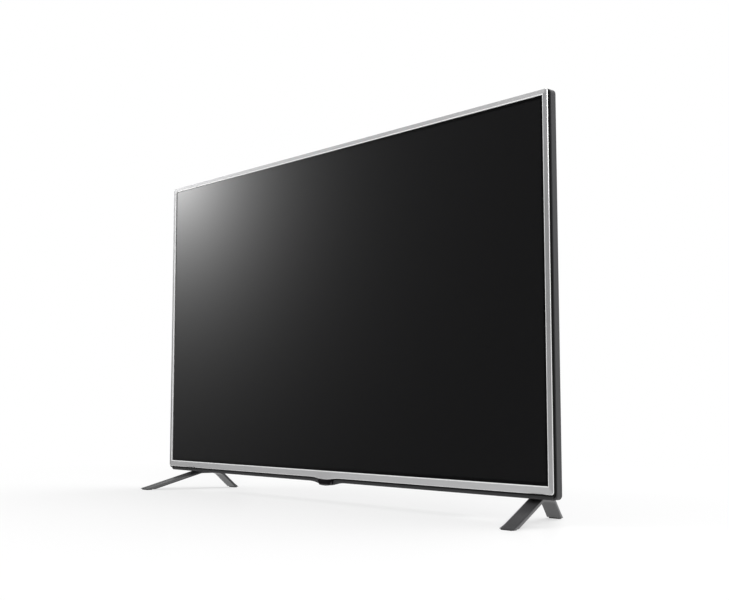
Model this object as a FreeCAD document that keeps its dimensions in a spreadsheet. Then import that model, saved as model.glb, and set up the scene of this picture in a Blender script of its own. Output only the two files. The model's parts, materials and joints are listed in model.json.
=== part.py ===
import FreeCAD, Part
import math
import os
import re

import Sketcher

# A 42-inch flat screen television on two arched feet, in millimetres.
# +Z is up, the screen faces -Y, and the origin lies on the floor below the middle of the stand.

doc = FreeCAD.newDocument("flat_screen_tv")
sheet = doc.addObject("Spreadsheet::Sheet", "Sizes")
Vector = FreeCAD.Vector
Rotation = FreeCAD.Rotation

# Driving dimensions, each one a cell of the sheet
sizes = {
    # Screen opening and the silver front bezel
    "screen_width": 940.0,
    "screen_height": 533.0,
    "screen_bottom": 53.5,
    "front_plane": -17.0,
    "bezel_side": 8.5,
    "bezel_head": 8.0,
    "bezel_sill": 11.0,
    "bezel_depth": 2.0,
    "bezel_corner": 4.0,
    "bezel_outer_chamfer": 1.1,
    "bezel_inner_chamfer": 0.7,
    "dip_half_width": 38.0,
    "dip_depth": 2.7,
    # Gaps between pieces that are fitted into each other, and how far a cut runs past its piece
    "fit_gap": 0.3,
    "overrun": 1.0,
    "corner_clip": 0.7,
    # Liquid crystal cell, its gasket and driver boards
    "cell_thickness": 1.3,
    "cell_margin": 3.5,
    "gasket_thickness": 0.8,
    "gasket_width": 4.0,
    "source_board_height": 5.6,
    "source_board_inner": 30.0,
    "source_board_outer": 440.0,
    "source_board_thickness": 1.2,
    "chip_film_width": 34.0,
    "chip_film_overlap": 1.6,
    "chip_film_thickness": 0.2,
    "chip_films_per_board": 3,
    # Black mid frame between bezel and rear cover
    "frame_inset": 0.5,
    "frame_lip": 4.0,
    "frame_web": 2.9,
    "frame_sill": 5.0,
    "skirt_wall": 2.2,
    # Optical sheets and the backlight pan
    "sheet_margin": 1.5,
    "prism_thickness": 0.3,
    "film_thickness": 0.3,
    "diffuser_thickness": 2.0,
    "tray_sheet": 0.8,
    "pan_inset": 8.0,
    "pan_draw": 30.0,
    "pan_depth": 19.6,
    "reflector_sheet": 0.3,
    "led_rows": 3,
    "led_columns": 7,
    "led_row_pitch": 158.0,
    "led_column_pitch": 118.0,
    "led_bar_width": 18.0,
    "led_bar_thickness": 1.5,
    "lens_radius": 7.0,
    "lens_height": 5.0,
    "support_base_radius": 5.0,
    "support_tip_radius": 1.5,
    "support_place": 295.0,
    "support_rise": 79.0,
    # Dark rear cover
    "cover_reveal": 1.5,
    "cover_head": 0.5,
    "cover_bottom": 35.0,
    "cover_side_depth": 10.0,
    "cover_slope": 40.0,
    "cover_slope_depth": 19.0,
    "cover_wall": 2.5,
    "cover_corner": 7.0,
    "cover_lip_height": 6.5,
    "cover_lip_depth": 3.0,
    "bulge_half_width": 300.0,
    "bulge_root": 2.0,
    "bulge_bottom": 50.0,
    "bulge_top": 430.0,
    "bulge_depth": 19.5,
    "bulge_draft": 6.0,
    "bulge_corner": 14.0,
    "chin_half_width": 45.0,
    "chin_depth": 5.7,
    # Air slots
    "slot_width": 4.0,
    "slot_height": 26.0,
    "slot_pitch": 12.0,
    "slot_count": 31,
    "slot_bottom": 462.0,
    "speaker_slot_width": 3.0,
    "speaker_slot_length": 18.0,
    "speaker_slot_pitch": 8.0,
    "speaker_slot_count": 11,
    "speaker_slot_inset": 4.0,
    # Screws that hold the rear cover
    "cover_screw_radius": 1.5,
    "cover_screw_head_radius": 3.2,
    "cover_screw_head_height": 1.8,
    "cover_screw_floor": 2.2,
    "cover_screw_point": 1.5,
    "cover_recess_radius": 4.0,
    "cover_boss_radius": 6.0,
    "screw_clearance": 0.25,
    "screw_side": 412.0,
    "screw_inner": 206.0,
    "screw_top": 536.0,
    "screw_middle": 330.0,
    "screw_low_side": 368.0,
    "screw_low": 112.0,
    # Wall mount
    "wall_pattern": 200.0,
    "wall_centre": 280.0,
    "wall_screw_radius": 3.0,
    "wall_screw_depth": 14.0,
    "wall_boss_radius": 7.0,
    "wall_boss_clearance": 0.4,
    "rail_height": 3.0,
    "rail_sheet": 1.2,
    "rail_crown": 22.0,
    "rail_flange": 11.0,
    "rail_overhang": 30.0,
    # Arched feet
    "foot_centre": 428.5,
    "foot_lean": 0.33,
    "foot_reach": 170.0,
    "foot_width": 26.0,
    "foot_thickness": 5.5,
    "foot_bend_front": 14.0,
    "foot_bend_rear": 54.0,
    "foot_tip_height": 2.6,
    "foot_bend_radius": 26.0,
    "foot_edge_chamfer": 0.9,
    "pad_thickness": 1.5,
    "front_pad_length": 11.0,
    "rear_pad_length": 6.0,
    "pad_width": 18.0,
    "foot_block_inner": 396.0,
    "foot_block_outer": 446.0,
    "foot_block_rear": 55.5,
    "foot_block_shoulder": 60.0,
    "foot_block_top": 82.0,
    "foot_screw_radius": 2.0,
    "foot_screw_head_radius": 3.8,
    "foot_screw_head_height": 2.4,
    "foot_screw_front": 20.0,
    "foot_screw_pitch": 12.0,
    "foot_screw_point": 5.0,
    "bracket_sheet": 2.0,
    "bracket_width": 26.0,
    "bracket_boss_radius": 4.0,
    "bracket_boss_height": 3.5,
    "bracket_rise": 132.0,
    # Boards on the back of the pan
    "standoff_height": 4.0,
    "standoff_radius": 3.0,
    "board_thickness": 1.6,
    "board_margin": 6.0,
    "board_screw_radius": 1.3,
    "board_screw_head_radius": 2.5,
    "board_screw_head_height": 1.6,
    "board_screw_point": 3.0,
    "main_board_room": 2.0,
    "main_board_inner": 128.0,
    "main_board_bottom": 146.0,
    "main_board_top": 350.0,
    "main_board_screw_inset": 42.0,
    "power_board_inner": 128.0,
    "power_board_room": 8.0,
    "power_board_bottom": 118.0,
    "power_board_top": 350.0,
    "timing_board_half": 74.0,
    "timing_board_bottom": 98.0,
    "timing_board_top": 140.0,
    # Connector bay on the side of the bulge
    "bay_depth": 30.0,
    "bay_bottom": 150.0,
    "bay_top": 345.0,
    "jack_sheet": 1.2,
    "jack_overlap": 5.0,
    "hdmi_width": 15.0,
    "hdmi_height": 5.6,
    "hdmi_length": 13.0,
    "hdmi_first": 322.0,
    "hdmi_pitch": 26.0,
    "usb_width": 13.2,
    "usb_height": 5.8,
    "usb_length": 14.0,
    "usb_place": 270.0,
    "optical_width": 9.8,
    "optical_height": 9.8,
    "optical_length": 13.0,
    "optical_place": 246.0,
    "socket_wall": 0.6,
    "socket_floor": 3.0,
    "socket_tongue": 1.2,
    "socket_rise": 2.4,
    "tongue_inset": 1.6,
    "tongue_setback": 1.0,
    "antenna_radius": 4.7,
    "antenna_flange": 5.6,
    "antenna_length": 12.0,
    "antenna_bore": 2.4,
    "antenna_place": 164.0,
    "phono_radius": 4.1,
    "phono_length": 9.0,
    "phono_bore": 1.7,
    "phono_first": 184.0,
    "phono_pitch": 13.0,
    "phono_count": 3,
    "jack_setback": 14.0,
    "tuner_length": 34.0,
    "tuner_width": 26.0,
    "tuner_height": 8.0,
    # Mains inlet
    "inlet_inset": 38.0,
    "inlet_place": 140.0,
    "inlet_width": 20.0,
    "inlet_height": 12.6,
    "inlet_mouth_radius": 3.9,
    "inlet_mouth_pitch": 7.8,
    "inlet_mouth_depth": 13.0,
    "inlet_waist_inset": 0.9,
    "inlet_pin_radius": 1.2,
    "inlet_pin_pitch": 8.6,
    "inlet_pin_length": 10.0,
    # Parts on the main board, from its outer edge and its lower edge
    "main_sink_inset": 62.0,
    "main_sink_rise": 92.0,
    "memory_inset": 122.0,
    "memory_rise": 98.0,
    "memory_pitch": 20.0,
    "amplifier_inset": 84.0,
    "amplifier_rise": 52.0,
    "flash_inset": 130.0,
    "flash_rise": 42.0,
    "switch_inset": 96.0,
    "switch_rise": 170.0,
    "tuner_inset": 10.0,
    "tuner_drop": 4.0,
    # Parts on the power board
    "capacitor_inset": 30.0,
    "capacitor_rise": 46.0,
    "transformer_inset": 34.0,
    "transformer_rise": 112.0,
    "power_sink_inset": 76.0,
    "power_sink_rise": 62.0,
    "power_sink_pitch": 86.0,
    "coil_inset": 30.0,
    "coil_rise": 64.0,
    "coil_pitch": 22.0,
    "winding_inset": 1.0,
    "capacitor_radius": 8.0,
    "capacitor_height": 15.5,
    "capacitor_pitch": 19.0,
    "transformer_width": 40.0,
    "transformer_height": 34.0,
    "transformer_depth": 15.0,
    "transformer_core": 12.0,
    "coil_radius": 8.0,
    "coil_bore": 3.5,
    "coil_depth": 8.0,
    "sink_width": 44.0,
    "sink_depth": 13.0,
    "sink_base": 2.5,
    "sink_fin": 1.6,
    "sink_fin_pitch": 5.3,
    "sink_length": 46.0,
    "power_sink_length": 60.0,
    "power_sink_width": 24.0,
    "chip_height": 1.8,
    "chip_side": 22.0,
    "memory_side": 11.0,
    # Speakers
    "speaker_room": 30.0,
    "speaker_length": 120.0,
    "speaker_bottom": 56.0,
    "speaker_height": 30.0,
    "speaker_depth": 17.0,
    "speaker_rear_gap": 0.6,
    "cone_radius": 7.2,
    "cone_depth": 4.0,
    "bush_radius": 3.5,
    "bush_bore": 1.6,
    "bush_clearance": 0.2,
    "ear_length": 9.0,
    "ear_depth": 4.0,
    "ear_height": 12.0,
    "ear_rise": 12.0,
    # Wireless module
    "wifi_side": 34.0,
    "wifi_height": 22.0,
    "wifi_bottom": 385.0,
    "wifi_place": 40.0,
    "wifi_shield_inset": 4.0,
    # Flat inner cables
    "ribbon_thickness": 0.3,
    "ribbon_width": 30.0,
    "ribbon_place": 52.0,
    "ribbon_level": 45.4,
    "ribbon_lead": 2.0,
    "ribbon_clearance": 1.0,
    "ribbon_drop": 6.0,
    "ribbon_end": 3.0,
    # Sensor window, light guide and remote sensor in the chin
    "window_half_top": 19.0,
    "window_half_bottom": 14.0,
    "guide_place": 12.5,
    "guide_width": 4.0,
    "guide_height": 2.2,
    "guide_level": 37.7,
    "guide_proud": 1.2,
    "sensor_width": 7.0,
    "sensor_depth": 3.0,
    "sensor_height": 11.5,
    # Four-way button under the chin
    "button_depth": 18.0,
    "button_pivot": 44.5,
    "button_tilt_room": 2.0,
    "cap_radius": 5.0,
    "cap_bottom": 30.5,
    "cap_top": 38.5,
    "cap_bore_floor": 34.4,
    "cap_edge": 1.0,
    "stem_radius": 1.9,
    "stem_bottom": 35.5,
    "stem_top": 45.6,
    "ring_outer": 4.6,
    "ring_inner": 3.1,
    "ring_height": 1.6,
    "trunnion_radius": 0.6,
    "trunnion_clearance": 0.05,
    "housing_half": 7.0,
    "housing_cavity": 5.2,
    "housing_bottom": 42.0,
    "housing_roof": 47.4,
    "button_board_level": 49.0,
    "button_board_half": 25.0,
    "button_board_depth": 13.0,
    "button_board_thickness": 1.2,
    "button_post_radius": 2.6,
    "button_post_place": 21.0,
    "chin_box_half": 32.0,
    "chin_box_rear": 28.0,
    "chin_box_top": 58.0,
}

# Places worked out from the driving dimensions
places = {
    "open_half": "screen_width / 2",
    "open_top": "screen_bottom + screen_height",
    "bezel_half": "open_half + bezel_side",
    "bezel_top": "open_top + bezel_head",
    "bezel_bottom": "screen_bottom - bezel_sill",
    "cover_half": "bezel_half + cover_reveal",
    "cover_top": "bezel_top + cover_head",
    "frame_half": "bezel_half - frame_inset",
    "frame_top": "bezel_top - frame_inset",
    "frame_bottom": "cover_bottom + frame_sill",
    "cell_half": "open_half + cell_margin",
    "cell_top": "open_top + cell_margin",
    "cell_bottom": "screen_bottom - cell_margin",
    "sheet_half": "open_half + sheet_margin",
    "sheet_top": "open_top + sheet_margin",
    "sheet_bottom": "screen_bottom - sheet_margin",
    "skirt_half": "sheet_half + fit_gap",
    "skirt_top": "sheet_top + fit_gap",
    "skirt_bottom": "sheet_bottom - fit_gap",
    # Levels from the bezel's face towards the back
    "bezel_back": "front_plane + bezel_depth",
    "cell_back": "bezel_back + cell_thickness",
    "gasket_back": "cell_back + gasket_thickness",
    "frame_back": "gasket_back + frame_web",
    "prism_back": "frame_back + prism_thickness",
    "film_back": "prism_back + film_thickness",
    "diffuser_back": "film_back + diffuser_thickness",
    "tray_lip_back": "diffuser_back + tray_sheet",
    "tray_floor": "diffuser_back + pan_depth",
    "tray_back": "tray_floor + tray_sheet",
    "bar_front": "tray_floor - led_bar_thickness",
    "reflector_front": "bar_front - reflector_sheet",
    "board_front": "tray_back + standoff_height",
    "board_back": "board_front + board_thickness",
    "cover_front": "frame_back",
    "cover_edge": "cover_front + cover_side_depth",
    "cover_flat": "cover_edge + cover_slope_depth",
    "cover_back": "cover_flat + bulge_depth",
    "bulge_start": "cover_edge + bulge_root",
    "cover_boss_front": "tray_back",
    "cover_screw_seat": "tray_back + cover_screw_floor",
    "bay_side": "bay_depth - bulge_half_width",
    "cap_middle": "front_plane + button_depth",
    "speaker_back": "cover_back - cover_wall - speaker_rear_gap",
    "speaker_front": "speaker_back - speaker_depth",
    "speaker_ear_level": "speaker_bottom + ear_rise",
    # Pieces in the bulge keep their distance to its side walls
    "main_board_outer": "bulge_half_width - main_board_room",
    "power_board_outer": "bulge_half_width - power_board_room",
    "inlet_place_side": "bulge_half_width - inlet_inset",
    "speaker_inner": "bulge_half_width - speaker_room - speaker_length",
    # Curve of the chin, which the sensor window follows
    "chin_radius": "(chin_half_width ^ 2 + chin_depth ^ 2) / (4 * chin_depth)",
    "window_corner_drop": "chin_radius - sqrt(chin_radius ^ 2 - window_half_bottom ^ 2)",
    "window_corner_level": "cover_bottom - chin_depth + window_corner_drop",
    "foot_spread": "foot_lean * foot_reach / 2 + foot_width",
}

for row, (word, value) in enumerate(sizes.items(), 1):
    sheet.set(f"A{row}", word)
    sheet.set(f"B{row}", str(value))
    sheet.setAlias(f"B{row}", word)
sheet.recompute()


def expand(text):
    # Writes an expression out in cells of the sheet
    def spell(match):
        word = match.group(0)
        if word in places:
            return "(" + expand(places[word]) + ")"
        return "Sizes." + word if word in sizes else word
    return re.sub(r"[a-z_]+", spell, str(text))


def bind(item, name, text):
    item.setExpression(name, expand(text))


def number(text):
    result = sheet.evalExpression(expand(text))
    return float(getattr(result, "Value", result))


# Primitives and booleans


def block(name, along_x, along_y, along_z):
    # A rectangular block between two levels on each axis
    item = doc.addObject("Part::Box", name)
    for axis, side, (low, high) in zip("xyz", ("Length", "Width", "Height"), (along_x, along_y, along_z)):
        bind(item, side, f"({high}) - ({low})")
        bind(item, "Placement.Base." + axis, low)
    return item


turns = {"X": Rotation(Vector(0, 1, 0), 90), "Y": Rotation(Vector(1, 0, 0), -90), "Z": Rotation()}


def rod(name, axis, place, radius, length):
    # A cylinder that starts at a place and runs up an axis
    item = doc.addObject("Part::Cylinder", name)
    item.Placement = FreeCAD.Placement(Vector(), turns[axis])
    bind(item, "Radius", radius)
    bind(item, "Height", length)
    for letter, level in zip("xyz", place):
        bind(item, "Placement.Base." + letter, level)
    return item


# Flanks of the posts and holes that are drawn with flat sides, and steps of a corner
corner_steps = 5
octagon = 8
twelve = 12
finest = 24


def prism(name, axis, place, radius, length, flanks=6):
    # A post with flat flanks that runs up an axis, given by the radius of its corners
    item = doc.addObject("Part::Prism", name)
    item.Placement = FreeCAD.Placement(Vector(), turns[axis])
    item.Polygon = flanks
    bind(item, "Circumradius", radius)
    bind(item, "Height", length)
    for letter, level in zip("xyz", place):
        bind(item, "Placement.Base." + letter, level)
    return item


def pillar(name, place, near, far, length):
    # A four-sided post along the Y axis that widens from one half width to another
    item = doc.addObject("Part::Wedge", name)
    for mark, half in (("", near), ("2", far)):
        for letter in "XZ":
            bind(item, f"{letter}{mark}min", f"-({half})")
            bind(item, f"{letter}{mark}max", half)
    bind(item, "Ymax", length)
    for letter, level in zip("xyz", place):
        bind(item, "Placement.Base." + letter, level)
    return item


def cut(name, base, *tools):
    item = doc.addObject("Part::Cut", name)
    item.Base = base
    item.Tool = tools[0] if len(tools) == 1 else gather(name + "_tools", tools)
    return item


def fuse(name, *pieces):
    item = doc.addObject("Part::MultiFuse", name)
    item.Shapes = list(pieces)
    return item


def gather(name, pieces):
    # Separate solids that make one set
    item = doc.addObject("Part::Compound", name)
    item.Links = list(pieces)
    return item


# Sketched features: every pad and pocket runs up its axis from the sketch

planes = {"XY": ("XY_Plane", 1), "XZ": ("XZ_Plane", -1), "YZ": ("YZ_Plane", 1)}


def make_body(name):
    return doc.addObject("PartDesign::Body", name)


def origin_part(body, role):
    return [part for part in body.Origin.OriginFeatures if part.Role == role][0]


def heading(arm):
    return math.atan2(arm.y, arm.x)


def arc_between(here, there, radius, turn):
    # An arc of less than half a turn, anticlockwise for turn 1 and clockwise for turn -1
    chord = there - here
    reach = math.sqrt(max(radius ** 2 - chord.Length ** 2 / 4, 0))
    left = Vector(-chord.y, chord.x, 0).normalize()
    centre = (here + there) * 0.5 + left * (turn * reach)
    first, last = (here, there) if turn > 0 else (there, here)
    circle = Part.Circle(centre, Vector(0, 0, 1), radius)
    return Part.ArcOfCircle(circle, heading(first - centre), heading(last - centre))


def hold(flat, kind, geometry, *rest):
    # Adds a dimension to a sketch and ties it to the sheet
    index = flat.addConstraint(Sketcher.Constraint(kind, geometry, *rest[:-1], number(rest[-1])))
    bind(flat, f"Constraints[{index}]", rest[-1])


def draw_circle(flat, across, up, radius):
    middle = Vector(number(across), number(up), 0)
    index = flat.addGeometry(Part.Circle(middle, Vector(0, 0, 1), number(radius)), False)
    hold(flat, "DistanceX", index, 3, across)
    hold(flat, "DistanceY", index, 3, up)
    hold(flat, "Radius", index, radius)


def draw_outline(flat, corners):
    # A corner is (across, up), or (across, up, radius, turn) where an arc starts
    points = [Vector(number(corner[0]), number(corner[1]), 0) for corner in corners]
    ends = []
    for here, there, corner in zip(points, points[1:] + points[:1], corners):
        if len(corner) == 2:
            ends.append((flat.addGeometry(Part.LineSegment(here, there), False), 1, 2))
            continue
        radius, turn = corner[2:]
        index = flat.addGeometry(arc_between(here, there, number(radius), turn), False)
        hold(flat, "Radius", index, radius)
        ends.append((index, 1, 2) if turn > 0 else (index, 2, 1))
    for end, after, corner in zip(ends, ends[1:] + ends[:1], corners):
        index, near, far = end
        flat.addConstraint(Sketcher.Constraint("Coincident", index, far, after[0], after[1]))
        hold(flat, "DistanceX", index, near, corner[0])
        hold(flat, "DistanceY", index, near, corner[1])


def draw(body, name, plane, level, *outlines):
    # An outline is a list of corners, and a circle is its middle and radius
    role, way = planes[plane]
    flat = body.newObject("Sketcher::SketchObject", name)
    flat.AttachmentSupport = [(origin_part(body, role), "")]
    flat.MapMode = "FlatFace"
    bind(flat, "AttachmentOffset.Base.z", f"{way} * ({level})")
    for outline in outlines:
        if isinstance(outline, tuple):
            draw_circle(flat, *outline)
        else:
            draw_outline(flat, outline)
    return flat


def pad(body, flat, length):
    item = body.newObject("PartDesign::Pad", flat.Name + "_pad")
    item.Profile = flat
    item.Reversed = flat.AttachmentSupport[0][0].Role == "XZ_Plane"
    bind(item, "Length", length)
    return item


def pocket(body, flat, length):
    item = body.newObject("PartDesign::Pocket", flat.Name + "_pocket")
    item.Profile = flat
    item.Reversed = flat.AttachmentSupport[0][0].Role != "XZ_Plane"
    bind(item, "Length", length)
    return item


def loft(body, first, last):
    item = body.newObject("PartDesign::AdditiveLoft", first.Name + "_loft")
    item.Profile = first
    item.Sections = [last]
    item.Ruled = True
    return item


def row_of(body, feature, role, length, count):
    # Repeats a feature along an axis, over a length from first to last
    item = body.newObject("PartDesign::LinearPattern", feature.Name + "_row")
    item.Originals = [feature]
    item.Direction = (origin_part(body, role), [""])
    bind(item, "Length", length)
    bind(item, "Occurrences", count)
    body.Tip = item
    return item


def dress(body, kind, name, size, chosen):
    # A fillet or chamfer on the edges that a test picks out
    doc.recompute()
    base = body.Tip
    picked = [f"Edge{n}" for n, edge in enumerate(base.Shape.Edges, 1) if chosen(edge)]
    item = body.newObject("PartDesign::" + kind, name)
    item.Base = (base, picked)
    bind(item, "Radius" if kind == "Fillet" else "Size", size)
    return item


def rounded(left, right, bottom, top, radius):
    # A rectangle with round corners, anticlockwise from its bottom edge
    return [
        (f"{left} + {radius}", bottom),
        (f"{right} - {radius}", bottom, radius, 1),
        (right, f"{bottom} + {radius}"),
        (right, f"{top} - {radius}", radius, 1),
        (f"{right} - {radius}", top),
        (f"{left} + {radius}", top, radius, 1),
        (left, f"{top} - {radius}"),
        (left, f"{bottom} + {radius}", radius, 1),
    ]


def framed(half, bottom, top, radius):
    return rounded(f"-({half})", half, bottom, top, radius)


def square(left, right, bottom, top):
    return [(left, bottom), (right, bottom), (right, top), (left, top)]


def clipped(half, bottom, top, radius):
    # A rectangle whose corners are cut off close to where round ones would run
    leg = f"{radius} * corner_clip"
    return [
        (f"-({half}) + {leg}", bottom), (f"{half} - {leg}", bottom),
        (half, f"{bottom} + {leg}"), (half, f"{top} - {leg}"),
        (f"{half} - {leg}", top), (f"-({half}) + {leg}", top),
        (f"-({half})", f"{top} - {leg}"), (f"-({half})", f"{bottom} + {leg}"),
    ]


def stepped(half, bottom, top, radius):
    # A rectangle whose corners are rounded in short flat steps
    right = f"{half} - {radius}"
    left = f"-({half}) + {radius}"
    low = f"{bottom} + {radius}"
    high = f"{top} - {radius}"
    quarter = 90
    points = []
    for corner, (across, up) in enumerate(((right, low), (right, high), (left, high), (left, low))):
        for step in range(corner_steps + 1):
            turn = quarter * (corner - 1 + step / corner_steps)
            points.append((f"{across} + {radius} * cos({turn})", f"{up} + {radius} * sin({turn})"))
    return points


def many_sided(across, up, radius, flanks=6):
    # A regular polygon by the radius of its corners, anticlockwise from its right corner
    turns_done = [360 * step / flanks for step in range(flanks)]
    return [(f"{across} + {radius} * cos({turn})", f"{up} + {radius} * sin({turn})") for turn in turns_done]


kept = []


def keep(item, label):
    item.Label = label
    kept.append(item)
    return item


def plate(name, plane, level, depth, *outlines):
    # A flat piece of its own: one sketch and one pad
    body = make_body(name)
    pad(body, draw(body, name + "_outline", plane, level, *outlines), depth)
    return body


def between(level, low, high):
    margin = 0.01
    return low - margin <= level <= high + margin


# Front of the set: bezel, screen cell and mid frame


def dip_outline(half, depth, level):
    # Three arcs, tangent to each other and to the edge, that lower the edge at its middle
    radius = f"(({half}) ^ 2 + ({depth}) ^ 2) / (4 * ({depth}))"
    return [
        (f"-({half})", level, radius, -1),
        (f"-({half}) / 2", f"{level} - {depth} / 2", radius, 1),
        (f"({half}) / 2", f"{level} - {depth} / 2", radius, -1),
        (half, level),
    ]


def round_opening(edge):
    # True for the edges round the screen opening, with or without their chamfer
    reach = number("bezel_inner_chamfer")
    middle = edge.CenterOfMass
    return between(abs(middle.x), 0, number("open_half") + reach) and between(
        middle.z, number("screen_bottom") - reach, number("open_top") + reach)


def front_bezel():
    body = make_body("front_bezel")
    outside = framed("bezel_half", "bezel_bottom", "bezel_top", "bezel_corner")
    outside[1:1] = dip_outline("dip_half_width", "dip_depth", "bezel_bottom")
    opening = square("-open_half", "open_half", "screen_bottom", "open_top")
    pad(body, draw(body, "bezel_outline", "XZ", "front_plane", outside, opening), "bezel_depth")
    face = number("front_plane")

    def on_face(edge):
        box = edge.BoundBox
        return between(box.YMin, face, face) and between(box.YMax, face, face)

    dress(body, "Chamfer", "bezel_inner_edge", "bezel_inner_chamfer",
          lambda edge: on_face(edge) and round_opening(edge))
    dress(body, "Chamfer", "bezel_outer_edge", "bezel_outer_chamfer",
          lambda edge: on_face(edge) and not round_opening(edge))
    keep(body, "front_bezel")


def screen_cell():
    cell = block("lcd_cell", ("-cell_half", "cell_half"), ("bezel_back", "cell_back"),
                 ("cell_bottom", "cell_top"))
    keep(cell, "lcd_cell")
    window_half = "open_half - frame_lip"
    outer = square(f"-({window_half}) - gasket_width", f"{window_half} + gasket_width",
                   "screen_bottom + frame_lip - gasket_width", "open_top - frame_lip + gasket_width")
    inner = square(f"-({window_half})", window_half, "screen_bottom + frame_lip", "open_top - frame_lip")
    keep(plate("panel_gasket", "XZ", "cell_back", "gasket_thickness", outer, inner), "panel_gasket")


def driver_boards():
    # Two narrow boards below the cell, joined to it by strips of film that carry its driver chips
    board_top = "cell_bottom - fit_gap"
    boards = []
    films = []
    for side in (-1, 1):
        ends = sorted((f"{side} * source_board_inner", f"{side} * source_board_outer"), key=number)
        boards.append(block("source_board", ends, ("cell_back - source_board_thickness", "cell_back"),
                            (f"{board_top} - source_board_height", board_top)))
        pitch = "(source_board_outer - source_board_inner) / chip_films_per_board"
        for step in range(int(number("chip_films_per_board"))):
            middle = f"{side} * (source_board_inner + {pitch} * {step + 0.5})"
            ends = (f"{middle} - chip_film_width / 2", f"{middle} + chip_film_width / 2")
            films.append(block("cof_film", ends,
                               ("cell_back", "cell_back + chip_film_thickness"),
                               (f"{board_top} - chip_film_overlap", "cell_bottom + chip_film_overlap")))
    keep(gather("source_boards", boards), "source_boards")
    keep(gather("cof_films", films), "cof_films")


def mid_frame():
    # A ring that the cell, the optical sheets and the pan are built round
    body = make_body("frame_ring")
    outside = framed("frame_half", "frame_bottom", "frame_top", "bezel_corner")
    recess = square("-cell_half - fit_gap", "cell_half + fit_gap",
                    "cell_bottom - source_board_height - 2 * fit_gap", "cell_top + fit_gap")
    window_half = "open_half - frame_lip"
    window = square(f"-({window_half})", window_half, "screen_bottom + frame_lip", "open_top - frame_lip")
    wall = draw(body, "frame_wall", "XZ", "bezel_back", outside, recess)
    pad(body, wall, "cell_thickness + gasket_thickness")
    pad(body, draw(body, "frame_web_outline", "XZ", "gasket_back", outside, window), "frame_web")
    skirt_outside = square("-skirt_half - skirt_wall", "skirt_half + skirt_wall",
                           "skirt_bottom - skirt_wall", "skirt_top + skirt_wall")
    skirt_inside = square("-skirt_half", "skirt_half", "skirt_bottom", "skirt_top")
    skirt = draw(body, "frame_skirt", "XZ", "frame_back", skirt_outside, skirt_inside)
    pad(body, skirt, "diffuser_back - frame_back")
    slots = []
    for side in (-1, 1):
        middle = f"{side} * ribbon_place"
        half = "ribbon_width / 2 + fit_gap"
        slots.append(block("ribbon_slot", (f"{middle} - ({half})", f"{middle} + {half}"),
                           ("cell_back + fit_gap", "frame_back + overrun"),
                           ("ribbon_level - fit_gap", "ribbon_level + ribbon_thickness + fit_gap")))
    keep(cut("mid_frame", body, *slots), "mid_frame")


# Optical sheets, backlight and pan


def optical_sheets():
    levels = {
        "prism_sheet": ("frame_back", "prism_thickness"),
        "diffuser_film": ("prism_back", "film_thickness"),
        "diffuser_plate": ("film_back", "diffuser_thickness"),
    }
    for name, (level, thickness) in levels.items():
        outline = square("-sheet_half", "sheet_half", "sheet_bottom", "sheet_top")
        keep(plate(name, "XZ", level, thickness, outline), name)


def pan_outline(level, shrink):
    # The pan's sloping inside at one level, drawn in further by a wall or a gap
    inset = f"pan_inset + pan_draw * (({level}) - diffuser_back) / pan_depth + ({shrink})"
    return square(f"-(open_half - ({inset}))", f"open_half - ({inset})",
                  f"screen_bottom + {inset}", f"open_top - ({inset})")


def pan_form(name, front, back, shrink):
    body = make_body(name)
    first = draw(body, name + "_mouth", "XZ", front, pan_outline(front, shrink))
    last = draw(body, name + "_floor", "XZ", back, pan_outline(back, shrink))
    loft(body, first, last)
    return body


def led_places():
    for row in range(int(number("led_rows"))):
        up = f"screen_bottom + screen_height / 2 + led_row_pitch * ({row} - (led_rows - 1) / 2)"
        for column in range(int(number("led_columns"))):
            yield f"led_column_pitch * ({column} - (led_columns - 1) / 2)", up


def cover_screw_places():
    for side in (-1, 1):
        yield f"{side} * screw_side", "screw_top"
        yield f"{side} * screw_inner", "screw_top"
        yield f"{side} * screw_side", "screw_middle"
        yield f"{side} * screw_low_side", "screw_low"
    yield "0", "screw_top"


def backlight_tray():
    lip = make_body("tray_lip")
    rim = square("-skirt_half - skirt_wall", "skirt_half + skirt_wall",
                 "skirt_bottom - skirt_wall", "skirt_top + skirt_wall")
    mouth = pan_outline("diffuser_back", "0")
    pad(lip, draw(lip, "tray_rim", "XZ", "diffuser_back", rim, mouth), "tray_sheet")
    outside = pan_form("tray_outside", "diffuser_back", "tray_back", "-tray_sheet")
    inside = pan_form("tray_inside", "diffuser_back - overrun", "tray_floor", "0")
    holes = [prism("tray_screw_hole", "Y", (across, "tray_floor - overrun", up),
                   "cover_screw_radius + screw_clearance", "tray_sheet + 2 * overrun")
             for across, up in cover_screw_places()]
    keep(cut("backlight_tray", fuse("tray_pressing", outside, lip), inside, *holes), "backlight_tray")


def reflector_sheet():
    gap = "fit_gap"
    front = "diffuser_back + fit_gap"
    outside = pan_form("reflector_outside", front, "bar_front", gap)
    inside = pan_form("reflector_inside", f"{front} - overrun", "reflector_front", f"{gap} + reflector_sheet")
    holes = [prism("lens_hole", "Y", (across, "reflector_front - overrun", up), "lens_radius + fit_gap",
                   "reflector_sheet + 2 * overrun") for across, up in led_places()]
    keep(cut("reflector_sheet", outside, inside, *holes), "reflector_sheet")


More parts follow.
